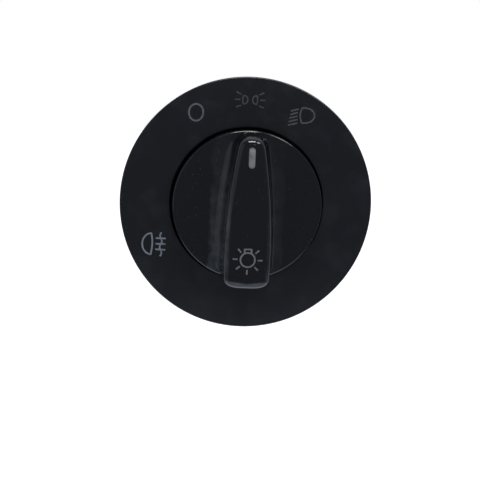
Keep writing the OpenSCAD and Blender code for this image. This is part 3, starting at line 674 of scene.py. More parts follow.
class Mark(Enum):
    """Tone of each symbol, all unlit, as the layers of paint and film behind them give it."""

    OFF = "#565f62"
    SIDE = "#433d40"
    DIPPED = "#4f4a49"
    FOG = "#7c828b"
    BULB = "#6f7070"

    def finish(self) -> EtchedMark:
        """Give the etched finish in this tone."""
        return EtchedMark(f"etched_mark_{self.name.lower()}", self.value, 0.45)


# ------------ Repeating and swept pieces ------------
class Repeater:
    """Geometry Nodes trees for what repeats, each built once."""

    def tree(self, name: str, inputs: dict[str, tuple[str, object]]) -> tuple:
        """Start a tree with named inputs.

        Args:
            name: Name of the tree.
            inputs: Socket type and default value for each input, by name.

        Returns:
            The tree and the sockets of its group input.
        """
        tree = bpy.data.node_groups.new(name, "GeometryNodeTree")
        tree.interface.new_socket("Geometry", in_out="INPUT", socket_type="NodeSocketGeometry")
        tree.interface.new_socket("Geometry", in_out="OUTPUT", socket_type="NodeSocketGeometry")
        for label, (kind, value) in inputs.items():
            socket = tree.interface.new_socket(label, in_out="INPUT", socket_type=kind)
            if value is not None:
                socket.default_value = value
        return tree, add_node(tree, "NodeGroupInput").outputs

    def close(self, tree: Tree, geometry: Socket,
              finish: Socket) -> None:
        """End a tree in Realize Instances and Set Material.

        Args:
            tree: The tree.
            geometry: What it has made.
            finish: The input that holds the material.
        """
        solid = add_node(tree, "GeometryNodeRealizeInstances", links={"Geometry": geometry})
        dressed = add_node(tree, "GeometryNodeSetMaterial", links={
            "Geometry": solid.outputs[0], "Material": finish})
        add_node(tree, "NodeGroupOutput", links={"Geometry": dressed.outputs[0]})

    @cached_property
    def around(self) -> Tree:
        """Build the tree that copies a piece round the knob's axis.

        Returns:
            The tree, which turns each copy by one step more.
        """
        tree, given = self.tree("copies_round_axis", {
            "Count": ("NodeSocketInt", 1), "First angle": ("NodeSocketFloat", 0.0),
            "Step": ("NodeSocketFloat", 0.0), "Finish": ("NodeSocketMaterial", None)})
        seats = add_node(tree, "GeometryNodePoints", links={"Count": given["Count"]})
        index = add_node(tree, "GeometryNodeInputIndex")
        angle = maths(tree, "MULTIPLY_ADD", index.outputs[0], given["Step"], given["First angle"])
        turn = add_node(tree, "ShaderNodeCombineXYZ", links={"Y": maths(tree, "RADIANS", angle)})
        rotation = add_node(tree, "FunctionNodeEulerToRotation", links={0: turn.outputs[0]})
        copies = add_node(tree, "GeometryNodeInstanceOnPoints", links={
            "Points": seats.outputs[0], "Instance": given["Geometry"],
            "Rotation": rotation.outputs[0]})
        self.close(tree, copies.outputs[0], given["Finish"])
        return tree

    @cached_property
    def rows(self) -> Tree:
        """Build the tree that copies a piece in rows across the back.

        Returns:
            The tree, with a copy at each point of a grid.
        """
        tree, given = self.tree("copies_in_rows", {
            "Columns": ("NodeSocketInt", 1), "Rows": ("NodeSocketInt", 1),
            "Width": ("NodeSocketFloat", 1.0), "Height": ("NodeSocketFloat", 1.0),
            "Finish": ("NodeSocketMaterial", None)})
        grid = add_node(tree, "GeometryNodeMeshGrid", links={
            "Size X": given["Width"], "Size Y": given["Height"],
            "Vertices X": given["Columns"], "Vertices Y": given["Rows"]})
        stood = add_node(tree, "GeometryNodeTransform", links={
            "Geometry": grid.outputs[0], "Rotation": (math.pi / 2, 0, 0)})
        copies = add_node(tree, "GeometryNodeInstanceOnPoints", links={
            "Points": stood.outputs[0], "Instance": given["Geometry"]})
        self.close(tree, copies.outputs[0], given["Finish"])
        return tree

    @cached_property
    def coil(self) -> Tree:
        """Build the tree that winds a compression spring with closed end turns.

        Returns:
            The tree, which needs no geometry.
        """
        tree, given = self.tree("compression_spring", {
            "Coil radius": ("NodeSocketFloat", 0.003), "Wire radius": ("NodeSocketFloat", 2e-4),
            "Length": ("NodeSocketFloat", 0.01), "Turns": ("NodeSocketFloat", 5.0),
            "Start": ("NodeSocketVector", (0, 0, 0)), "Turn": ("NodeSocketVector", (0, 0, 0)),
            "Finish": ("NodeSocketMaterial", None)})
        spiral = add_node(tree, "GeometryNodeCurveSpiral", links={
            "Resolution": 28, "Rotations": given["Turns"], "Height": 0.0,
            "Start Radius": given["Coil radius"], "End Radius": given["Coil radius"]})
        closed = maths(tree, "DIVIDE", 0.9, given["Turns"])
        top = maths(tree, "SUBTRACT", given["Length"], given["Wire radius"])
        along = add_node(tree, "GeometryNodeSplineParameter").outputs["Factor"]
        rise = map_range(tree, along, closed, maths(tree, "SUBTRACT", 1.0, closed),
                         (given["Wire radius"], top))
        lift = add_node(tree, "ShaderNodeCombineXYZ", links={"Z": rise})
        wound = add_node(tree, "GeometryNodeSetPosition", links={
            "Geometry": spiral.outputs[0], "Offset": lift.outputs[0]})
        section = add_node(tree, "GeometryNodeCurvePrimitiveCircle", {"mode": "RADIUS"}, {
            "Resolution": 10, "Radius": given["Wire radius"]})
        tube = add_node(tree, "GeometryNodeCurveToMesh", links={
            "Curve": wound.outputs[0], "Profile Curve": section.outputs[0], "Fill Caps": True})
        placed = add_node(tree, "GeometryNodeTransform", links={
            "Geometry": tube.outputs[0], "Translation": given["Start"],
            "Rotation": given["Turn"]})
        self.close(tree, placed.outputs[0], given["Finish"])
        return tree

    def apply(self, piece: Piece, tree: Tree, finish: Finish,
              values: dict[str, object], sharp: float = 35.0) -> Piece:
        """Run a tree on a piece and keep the result as a plain mesh.

        Args:
            piece: The piece, which holds what is repeated.
            tree: The tree.
            finish: Finish of the result.
            values: The tree's inputs by name.
            sharp: Edges steeper than this many degrees stay sharp.

        Returns:
            The piece, with a plain mesh.
        """
        modifier = piece.modifiers.new(tree.name, "NODES")
        modifier.node_group = tree
        ids = {s.name: s.identifier for s in tree.interface.items_tree if s.in_out == "INPUT"}
        for label, value in {**values, "Finish": finish.material()}.items():
            modifier[ids[label]] = value
        bake(piece)
        paint(piece, finish)
        tidy_mesh(piece.data, sharp)
        return piece


REPEAT = Repeater()


def settle(piece: Piece, body: str, slot: str, *nodes: str) -> None:
    """Give a piece its body and hide the CAD nodes that it stands for.

    Args:
        piece: The finished piece.
        body: The CAD body that it rides on.
        slot: The record's material slot; not used.
        nodes: CAD nodes that it replaces.
    """
    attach(piece, body)
    if nodes:
        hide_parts(*nodes)
    log.info("%s: %d faces on %s", piece.name, len(piece.data.polygons), body)


# ------------ Faceplate ------------
@dataclass
class Faceplate:
    """Round bezel with a crowned band, a rounded lip round the well, and ribs behind."""

    radius: float = 36.0
    well_radius: float = 21.708
    height: float = 6.6
    edge_height: float = 5.4
    wall: float = 1.8
    tube_wall: float = 1.4
    lip: float = 0.4
    edge_round: float = 0.5
    side_draw: float = 0.8
    crown: float = 0.3
    flange: float = 2.0
    rib: float = 1.0
    overlap: Flat = (0.2, 0.3)
    nib_inner: float = 32.7
    nib_span: Flat = (0.05, 0.35)
    symbol_radius: float = 28.854
    chimney: Point = (7.6, 9.6, 0.8)

    def top(self, radius: float) -> float:
        """Give the height of the band's surface at a radius, in millimetres."""
        t = (self.radius - self.edge_round - radius) / (
            self.radius - self.edge_round - self.well_radius - self.lip)
        return self.edge_height + (self.height - self.edge_height) * t \
            + 4 * self.crown * t * (1 - t)

    def profile(self) -> list[Flat]:
        """Draw the bezel's section.

        Returns:
            Radius and height of each corner, counted from the dashboard.
        """
        outer = self.radius - self.edge_round
        inner = self.well_radius + self.lip
        band = [outer + (inner - outer) * i / 24 for i in range(1, 24)]
        tube = self.well_radius + self.tube_wall
        return [(self.radius - self.side_draw, 0.0),
                *arc((outer, self.edge_height - self.edge_round), self.edge_round, 0, 90, 10),
                *[(r, self.top(r)) for r in band],
                *arc((inner, self.height - self.lip), self.lip, 90, 180, 12),
                (self.well_radius, self.flange), (tube, self.flange),
                (tube, self.height - self.wall),
                (self.radius - self.wall, self.edge_height - self.wall),
                (self.radius - self.wall, 0.0)]

    def ribs(self) -> Piece:
        """Make the stiffening ribs where no light guide lies.

        Returns:
            The nine ribs as one piece.
        """
        across, up = self.overlap
        tube = self.well_radius + self.tube_wall - across
        rim = self.radius - self.wall + across
        section = [(tube, self.flange + across), (rim, self.flange + across),
                   (rim, self.edge_height - self.wall + up), (tube, self.height - self.wall + up)]
        rings = [[(x, y, z) for y, z in section] for x in (-self.rib / 2, self.rib / 2)]
        rib = make_piece("faceplate_ribs", Shell.lofted(rings))
        return REPEAT.apply(rib, REPEAT.around, SATIN_ABS,
                            {"Count": 9, "First angle": 55.0, "Step": 20.0})

    def nibs(self) -> Piece:
        """Make the nibs that snap under the housing's flange.

        Returns:
            The six nibs as one piece.
        """
        rim, (low, high) = self.radius - self.wall + self.overlap[1], self.nib_span
        section = [(self.nib_inner, low), (rim, low), (rim, high), (self.nib_inner, high)]
        rings = [[(*polar(r, a), z) for r, z in section] for a in range(-7, 8, 2)]
        nib = make_piece("faceplate_nibs", Shell.lofted(rings))
        return REPEAT.apply(nib, REPEAT.around, SATIN_ABS,
                            {"Count": 6, "First angle": 30.0, "Step": 60.0})

    def chimneys(self) -> list[Piece]:
        """Make the square chimneys that keep each symbol's light apart.

        Returns:
            The three upper ones as one piece, and the fog lamp's.
        """
        made = []
        depth, width, wall = self.chimney[0] / 2, self.chimney[1] / 2, self.chimney[2]
        middle, z = self.symbol_radius, (self.flange + 1.9, self.edge_height - wall)
        for first, step, count in ((-31.0, 31.0, 3), (-118.0, 0.0, 1)):
            shell = Shell()
            for side in (-1, 1):
                radial = sorted(middle + side * r for r in (depth, depth - wall))
                shell += Shell.block((-width, width), radial, z)
                across = sorted(side * x for x in (width, width - wall))
                shell += Shell.block(across, (middle - depth + wall - 0.1,
                                              middle + depth - wall + 0.1), z)
            piece = make_piece("faceplate_chimneys", shell)
            made.append(REPEAT.apply(piece, REPEAT.around, SATIN_ABS, {
                "Count": count, "First angle": first, "Step": step}))
        return made

    def build(self) -> None:
        """Make the bezel with what is moulded behind it."""
        face = make_piece("bezel", Shell.turned(self.profile(), 360), 40, SATIN_ABS)
        whole = merge([face, self.ribs(), self.nibs(), *self.chimneys()])
        settle(whole, "body", "black_satin", "faceplate")


# ------------ Knob ------------
@dataclass
class Knob:
    """Flat disc with a sculpted grip that grows out of it by hollow fillets."""

    radius: float = 21.208
    face: float = 10.4
    edge_round: float = 0.6
    skirt: float = 1.3
    wall: float = 1.5
    grip_top: float = 21.2
    half_width: float = 6.9
    taper: Flat = (0.003, -12.0)
    bow: Flat = (0.0022, -6.0)
    tip_fall: Flat = (2.4, 2.6)
    heel_fall: Flat = (0.8, 3.2)
    tip: float = 20.908
    heel: float = 22.708
    tip_round: float = 4.2
    heel_round: float = 3.1
    tip_blunt: float = 0.77
    heel_blunt: float = 0.57
    flare_width: float = 4.2
    flare_end: float = 1.9
    shoulder: Flat = (1.4, 2.3)
    shoulder_span: Flat = (6.0, 8.0)
    fillet_height: float = 3.2
    fillet_sink: float = 0.004
    root_depth: float = 0.3
    crown_edge: float = 0.35
    crown_rise: float = 0.25
    hollow: tuple[Flat, Flat] = ((0.72, 0.81), (7.6, 17.0))
    slot_gap: float = 0.05
    slot_span: Flat = (14.6, 30.0)
    guide_bar: tuple[Flat, Flat, Flat] = ((-1.93, 1.93), (-17.0, 15.48), (14.7, 16.7))
    guide_rod: float = 1.99
    guide_end: float = 15.2
    window_sink: Flat = (0.32, 0.24)
    window_taper: Flat = (0.9, 0.965)
    pointer: Point = (1.95, 6.0, 14.508)
    outline_steps: int = 22
    hub_radii: Flat = (4.6, 6.6)
    hub_ends: Flat = (3.8, 9.1)
    dog_reach: Flat = (12.2, 14.6)

    def flank(self, y: float) -> float:
        """Give the grip's half width at a height on the face, in millimetres."""
        share, widest = self.taper
        return self.half_width - share * (y - widest) ** 2

    def crest(self, y: float) -> float:
        """Give the height of the grip's crest.

        Args:
            y: Height on the face in millimetres.

        Returns:
            The crest's distance from the dashboard in millimetres.
        """
        (share, highest), (fall, run), (drop, length) = self.bow, self.tip_fall, self.heel_fall
        fall *= (max(0.0, y - self.tip + run) / run) ** 2.2
        drop *= (max(0.0, length - self.heel - y) / length) ** 2
        return self.grip_top - share * (y - highest) ** 2 - fall - drop

    def flare(self, y: float) -> float:
        """Give the width of the hollow fillet at a height on the face, in millimetres."""
        end = self.radius - self.flare_end
        return self.flare_width * (1 - (abs(y) / end) ** 5) if abs(y) < end else 0.0

    def shoulder_at(self, y: float) -> float:
        """Give the radius of the shoulders, which grows from heel to tip.

        Args:
            y: Height on the face in millimetres.

        Returns:
            The radius in millimetres.
        """
        (low, high), (start, end) = self.shoulder, self.shoulder_span
        share = (y + self.heel - start) / (self.tip + self.heel - start - end)
        share = min(max(share, 0.0), 1.0)
        return low + (high - low) * share * share * (3 - 2 * share)

    def outline(self) -> list[Flat]:
        """Draw the grip's outline, from its tip down the right side and up the left.

        Returns:
            Points in millimetres, tip first.
        """
        n = self.outline_steps
        right = []
        for i in range(n):
            a = math.pi / 2 * i / n
            y = self.tip - self.tip_round + self.tip_round * math.cos(a)
            right.append((self.flank(y) * math.sin(a) ** self.tip_blunt, y))
        top, low = self.tip - self.tip_round, -self.heel + self.heel_round
        right += [(self.flank(top + (low - top) * i / 48), top + (low - top) * i / 48)
                  for i in range(48)]
        for i in range(n + 1):
            a = math.pi / 2 * i / n
            y = low - self.heel_round * math.sin(a)
            share = max(math.cos(a), 0.0) ** self.heel_blunt
            right.append((self.flank(y) * share if i < n else 0.0, y))
        return right + [(-x, y) for x, y in right[-2:0:-1]]

    def ring(self, round_over: float | None, out: float,
             height: Callable[[float], float]) -> list[Point]:
        """Draw one ring of the grip.

        Args:
            round_over: Share of the shoulder's radius by which it lies inside the outline,
                or None below the shoulder.
            out: Share of the hollow fillet's width by which it lies outside.
            height: Height at each place along the grip.

        Returns:
            The ring's points.
        """
        line = self.outline()
        n = len(line)
        made = []
        for i, (x, y) in enumerate(line):
            dx, dy = (line[(i + 1) % n][k] - line[i - 1][k] for k in (0, 1))
            length = math.hypot(dx, dy)
            inset = self.crown_edge + self.shoulder_at(y) * (round_over or 0.0)
            move = self.flare(y) * out - (0.0 if round_over is None else inset)
            qx, qy = x - dy / length * move, y + dx / length * move
            made.append((qx, qy, height(y if round_over is None else qy)))
        return made

    def grip(self) -> Shell:
        """Loft the grip from its foot in the disc to its crest.

        Returns:
            The closed shell.
        """
        def foot(y: float, a: float) -> float:
            """Give the height of the hollow fillet at an angle along its curve."""
            rise = min(self.fillet_height, 0.4 * (self.crest(y) - self.face))
            return self.face - self.fillet_sink + rise * (1 - math.cos(a))

        def edge(y: float, a: float) -> float:
            """Give the height of the shoulder at an angle along its curve."""
            return self.crest(y) - self.crown_rise - self.shoulder_at(y) * (1 - math.sin(a))

        rings = [self.ring(None, 1, lambda y: self.face - self.root_depth)]
        for i in range(15):
            a = math.pi / 2 * i / 14
            rings.append(self.ring(None, 1 - math.sin(a), lambda y, a=a: foot(y, a)))
        for i in range(13):
            a = math.radians(88) * i / 12
            rings.append(self.ring(1 - math.cos(a), 0, lambda y, a=a: edge(y, a)))
        return Shell.lofted(rings, open_end=True) + self.crown(rings[-1])

    def crown(self, edge: Sequence[Point], columns: int = 16) -> Shell:
        """Bridge the last ring from flank to flank along the crest.

        Args:
            edge: The last ring, tip first.
            columns: Number of facets across the grip.

        Returns:
            The open surface, whose border lies on the ring.
        """
        rows = len(edge) // 2 + 1
        points = []
        for x, y, z in edge[:rows]:
            ridge = self.crest(y)
            for j in range(columns + 1):
                k = 1 - 2 * j / columns
                points.append((x * k, y, ridge + (z - ridge) * k * k))
        n = columns + 1
        faces = [(i * n + j, (i + 1) * n + j, (i + 1) * n + j + 1, i * n + j + 1)
                 for i in range(rows - 1) for j in range(columns)]
        return Shell(points, faces)

    def disc(self) -> Shell:
        """Turn the disc with its rounded edge and its skirt."""
        r, edge = self.radius, self.edge_round
        return Shell.turned([
            (0.0, self.face - self.wall), (0.0, self.face),
            *arc((r - edge, self.face - edge), edge, 90, 0, 12),
            (r, self.skirt), (r - self.wall, self.skirt), (r - self.wall, self.face - self.wall)],
            360)

    def slot_outline(self, gap: float) -> list[Flat]:
        """Draw the pointer's round-ended slot.

        Args:
            gap: How far the line lies outside the window, in millimetres.

        Returns:
            Points in millimetres, anticlockwise.
        """
        width, length, y = self.pointer
        r, reach = width / 2 + gap, (length - width) / 2
        return [*arc((0, y + reach), r, 0, 180, 16), *arc((0, y - reach), r, 180, 360, 16)]

    def hub(self) -> Shell:
        """Make the hub that slides on the shaft, with its webs and the two dogs.

        Returns:
            The closed shells.
        """
        low, high = self.hub_ends
        bore, outside = self.hub_radii
        start, dog = outside - 0.6, self.dog_reach
        shell = Shell.turned([(bore, low), (bore, high), (outside, high), (outside, low)], 96)
        for side in (-1, 1):
            shell += Shell.block((-1.1, 1.1), sorted((side * start, side * dog[1])), (low, high))
            shell += Shell.block((-1.1, 1.1), sorted(side * r for r in dog), (1.2, low + 0.5))
            shell += Shell.block(sorted((side * start, side * 19.9)), (-0.6, 0.6),
                                 (low + 0.6, high))
        return shell

    def pointer_guide(self) -> Piece:
        """Make the light guide whose frosted end shows in the slot.

        Returns:
            The piece, with a clear finish inside and a frosted end.
        """
        line, middle = self.slot_outline(-0.01), self.pointer[2]
        (low, high), (kx, ky) = self.window_sink, self.window_taper
        rings = [[(x, y, self.guide_end) for x, y in line],
                 [(x, y, self.crest(y) - low) for x, y in line],
                 [(x * kx, middle + (y - middle) * ky, self.crest(y) - high) for x, y in line]]
        end = make_piece("pointer_end", Shell.lofted(rings), 60, FROSTED_PC)
        bar = make_piece("pointer_light_guide_fine", Shell.block(*self.guide_bar),
                         finish=CLEAR_PC)
        radius, back = self.guide_rod, self.guide_bar[1][0]
        rod = make_piece("pointer_rod", Shell.turned(
            [(0.0, back), (0.0, self.guide_end), (radius, self.guide_end), (radius, back)], 48),
            finish=CLEAR_PC)
        return merge([bar, rod, end])

    def build(self) -> None:
        """Make the knob and the light guide inside it."""
        body = make_piece("turning_knob", self.disc(), sharp=40)
        (kx, ky), span = self.hollow
        for name, shell, operation in (
                ("grip", self.grip(), Operation.JOIN),
                ("hollow", Shell.prism([(x * kx, y * ky) for x, y in self.outline()], *span),
                 Operation.CUT),
                ("slot", Shell.prism(self.slot_outline(self.slot_gap), *self.slot_span),
                 Operation.CUT)):
            combine(body, make_piece(name, shell, sharp=40), operation, sharp=40)
        paint(body, GLOSS_ABS)
        hub = make_piece("hub", self.hub(), finish=GLOSS_ABS)
        settle(merge([body, hub]), "knob", "black_gloss", "knob")
        settle(self.pointer_guide(), "knob", "clear_plastic", "pointer_light_guide")


# ------------ Symbols ------------
@dataclass
class Symbol:
    """Line drawing laid on a surface, as thin raised strokes."""

    name: str
    tone: Mark
    centre: Flat
    surface: Callable[[float, float], float]
    line: float
    body: str = "body"
    slot: str = "black_satin"
    height: float = 0.012
    root: float = 0.06
    strokes: list[tuple[list[Flat], bool]] = field(default_factory=list)

    def stroke(self, points: Sequence[Flat], closed: bool = False) -> None:
        """Add one line, drawn about the symbol's own middle, in millimetres."""
        self.strokes.append((list(points), closed))

    def ribbon(self, points: Sequence[Flat], closed: bool) -> Shell:
        """Give one line its width and its thin edge.

        Args:
            points: The line's points, on the face.
            closed: True where the line comes back to its start.

        Returns:
            The closed shell.
        """
        n = len(points)
        rings = []
        for i, (x, y) in enumerate(points):
            before = points[i - 1] if closed or i else points[0]
            after = points[(i + 1) % n] if closed or i < n - 1 else points[-1]
            dx, dy = after[0] - before[0], after[1] - before[1]
            size = math.hypot(dx, dy)
            nx, ny = -dy / size * self.line / 2, dx / size * self.line / 2
            px, py = self.centre[0] + x, self.centre[1] + y
            rings.append([(px + s * nx, py + s * ny, self.surface(px + s * nx, py + s * ny) + lift)
                          for s, lift in ((1, self.height), (-1, self.height), (-1, -self.root),
                                          (1, -self.root))])
        return Shell.skinned(rings, loop=True) if closed else Shell.lofted(rings)

    def build(self) -> None:
        """Make the symbol's strokes as one piece."""
        shell = Shell()
        for points, closed in self.strokes:
            shell += self.ribbon(split(points, closed), closed)
        settle(make_piece(self.name, shell, 50, self.tone.finish()), self.body, self.slot)


def split(points: Sequence[Flat], closed: bool, step: float = 0.25) -> list[Flat]:
    """Divide a line finely, so that it can follow a curved surface.

    Args:
        points: The line's points.
        closed: True where the line comes back to its start.
        step: Longest piece that stays, in millimetres.

    Returns:
        The finer line.
    """
    made = []
    pairs = zip(points, [*points[1:], points[0]] if closed else points[1:])
    for (x0, y0), (x1, y1) in pairs:
        parts = max(1, math.ceil(math.hypot(x1 - x0, y1 - y0) / step))
        made += [(x0 + (x1 - x0) * k / parts, y0 + (y1 - y0) * k / parts) for k in range(parts)]
    return made if closed else [*made, points[-1]]


def lamp_outline(depth: float, half: float, belly: float) -> list[Flat]:
    """Draw a lamp's outline, with its slightly bowed lens on the left and its bowl on the right.

    Args:
        depth: From the lens to the back of the bowl.
        half: Half the lens's height.
        belly: Power that shapes the bowl: 1 is an ellipse and more is blunter.

    Returns:
        A closed outline about the middle of the lamp.
    """
    bowl = []
    for i in range(33):
        a = -math.pi / 2 + math.pi * i / 32
        bowl.append((-depth / 2 + depth * max(math.cos(a), 0.0) ** belly, half * math.sin(a)))
    lens = [(-depth / 2 - 0.14 * depth * math.cos(math.pi / 2 * t), half * t)
            for t in [0.75 - 0.25 * i for i in range(7)]]
    return bowl + lens


def ellipse(half_width: float, half_height: float, steps: int) -> list[Flat]:
    """Draw an ellipse clockwise from its top."""
    return [(half_width * math.sin(math.tau * i / steps),
             half_height * math.cos(math.tau * i / steps)) for i in range(steps)]


@dataclass
class Markings:
    """The four symbols on the bezel and the bulb on the grip."""

    plate: Faceplate
    knob: Knob

    def on_plate(self, x: float, y: float) -> float:
        """Give the bezel's height at a point."""
        return self.plate.top(math.hypot(x, y))

    def on_grip(self, x: float, y: float) -> float:
        """Give the grip's height at a point near its crest."""
        half = self.knob.flank(y) - self.knob.crown_edge - self.knob.shoulder_at(y)
        return self.knob.crest(y) - self.knob.crown_rise * (x / half) ** 2

    def off(self) -> None:
        """Draw the ring that marks off."""
        mark = Symbol("symbol_off", Mark.OFF, polar(29.7, -31.3), self.on_plate, 0.5)
        mark.stroke(ellipse(2.02, 2.36, 64), True)
        mark.build()

    def side_lights(self) -> None:
        """Draw two small lamps back to back, each with three rays."""
        mark = Symbol("symbol_side_lights", Mark.SIDE, polar(29.53, -0.58), self.on_plate, 0.4)
        for side in (-1, 1):
            mark.stroke([(side * (1.3 - x), y) for x, y in lamp_outline(1.25, 1.2, 0.85)], True)
            mark.stroke([(side * 2.8, 0.0), (side * 4.3, 0.0)])
            mark.stroke([(side * 2.6, 1.45), (side * 3.95, 2.13)])
            mark.stroke([(side * 2.5, -1.6), (side * 3.95, -2.15)])
        mark.build()

    def dipped_beam(self) -> None:
        """Draw a lamp with five rays that fall away."""
        mark = Symbol("symbol_dipped_beam", Mark.DIPPED, polar(29.55, 29.85), self.on_plate,
                      0.42)
        mark.stroke([(1.7 + x, y + 0.1) for x, y in lamp_outline(3.6, 2.15, 0.75)], True)
        for i in range(5):
            y = 1.9 - i
            mark.stroke([(-1.3 + 0.25 * (i == 0), y), (-3.3 - 0.18 * i, y - 0.68)])
        mark.build()

    def rear_fog(self) -> None:
        """Draw a lamp that faces right, with three rays crossed by a wavy line."""
        mark = Symbol("symbol_rear_fog", Mark.FOG, polar(28.8, -115.95), self.on_plate, 0.46)
        mark.stroke([(-1.95 - x, y) for x, y in lamp_outline(2.5, 3.05, 1.0)], True)
        for y in (1.7, 0.07, -1.56):
            mark.stroke([(0.6, y), (3.4, y)])
        mark.stroke([(2.05 + 0.3 * math.sin(math.tau * t / 3.3), t)
                     for t in [3.4 - 6.9 * i / 40 for i in range(41)]])
        mark.build()

    def bulb(self) -> None:
        """Draw the bulb with its cap and seven rays."""
        mark = Symbol("symbol_bulb", Mark.BULB, (0.0, -13.85), self.on_grip, 0.44, "knob",
                      "black_gloss")
        mark.stroke(ellipse(2.02, 2.02, 48), True)
        mark.stroke([(-0.97, 1.85), (-0.97, 3.0), (0.97, 3.0), (0.97, 1.85)])
        for angle in (-131, -88, -43, 48, 91, 134, 181):
            mark.stroke([polar(2.8, angle), polar(4.15, angle)])
        mark.build()

    def build(self) -> None:
        """Draw every symbol."""
        self.off()
        self.side_lights()
        self.dipped_beam()
        self.rear_fog()
        self.bulb()


# ------------ Springs, terminals and screws ------------
@dataclass
class Spring:
    """Compression spring between two seats."""

    node: str
    body: str
    mean_radius: float
    wire: float
    length: float
    turns: float
    start: Point
    turn: Point
    joint: str
    travel: float

    def build(self) -> None:
        """Wind the spring on its seat."""
        piece = make_piece(f"{self.node}_fine", Shell())
        seat = tuple(row_point(self.start))
        turn = [math.radians(a) for a in self.turn]
        REPEAT.apply(piece, REPEAT.coil, SPRING_STEEL, {
            "Coil radius": self.mean_radius * MM, "Wire radius": self.wire / 2 * MM,
            "Length": self.length * MM, "Turns": self.turns, "Start": seat, "Turn": turn})
        settle(piece, self.body, "spring_steel", self.node)
        along = Vector((0, 0, 1))
        along.rotate(Euler(turn))
        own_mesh(piece)


@dataclass
class Terminals:
    """Two rows of flat blades with chamfered tips in the connector's socket."""

    count: int = 6
    pitch: float = 5.0
    row_gap: float = 7.5
    width: float = 2.8
    thickness: float = 0.8
    front: float = -24.1
    tip: float = -35.1

    def build(self) -> None:
        """Make one blade and copy it."""
        w, t = self.width / 2, self.thickness / 2
        rings = []
        for z, kx, ky in ((self.front, 1, 1), (self.tip + 1.1, 1, 1), (self.tip + 0.3, 0.86, 0.62),
                          (self.tip, 0.78, 0.4)):
            rings.append([(-w * kx, -t * ky, z), (w * kx, -t * ky, z), (w * kx, t * ky, z),
                          (-w * kx, t * ky, z)])
        blade = make_piece("connector_blades", Shell.lofted(rings))
        REPEAT.apply(blade, REPEAT.rows, TINNED_BRASS, {
            "Columns": self.count, "Rows": 2, "Width": (self.count - 1) * self.pitch * MM,
            "Height": self.row_gap * MM}, sharp=20)
        settle(blade, "body", "tinned_brass", "terminal_blades")


@dataclass
class CarriedOver:
    """CAD nodes whose shape is right, with the finish that each gets."""

    finishes: dict[str, Finish] = field(default_factory=lambda: {
        "light_guide": CLEAR_PC, "shaft": CREAM_ACETAL, "shaft_clip": SPRING_STEEL,
        "release_ring": CREAM_ACETAL, "ring_washer": ZINC_STEEL, "latch_left": NATURAL_ACETAL,
        "latch_right": NATURAL_ACETAL, "housing": BLACK_NYLON, "bearing_plate": GREY_NYLON,
        "plate_screws": ZINC_STEEL, "rotor": GREY_NYLON, "rotary_contact": BRONZE,
        "detent_spring": SPRING_STEEL, "fog_slider": NATURAL_ACETAL, "fog_contact": BRONZE,
        "fog_terminals": BRONZE, "contact_board": PAPER_LAMINATE, "contact_tracks": COPPER,
        "symbol_lamps": LAMP_RESIN, "knob_lamp": LAMP_RESIN, "rear_cover": BLACK_NYLON})

    def build(self) -> None:
        """Assign each finish to its node's material slots."""
        for piece in list(bpy.context.scene.objects):
            node = piece.get("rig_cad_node")
            if piece.type != "MESH" or node not in self.finishes:
                continue
            material = self.finishes[node].material()
            if not piece.material_slots:
                piece.data.materials.append(material)
            for slot in piece.material_slots:
                slot.material = material
            log.info("%s: CAD mesh in %s", node, material.name)


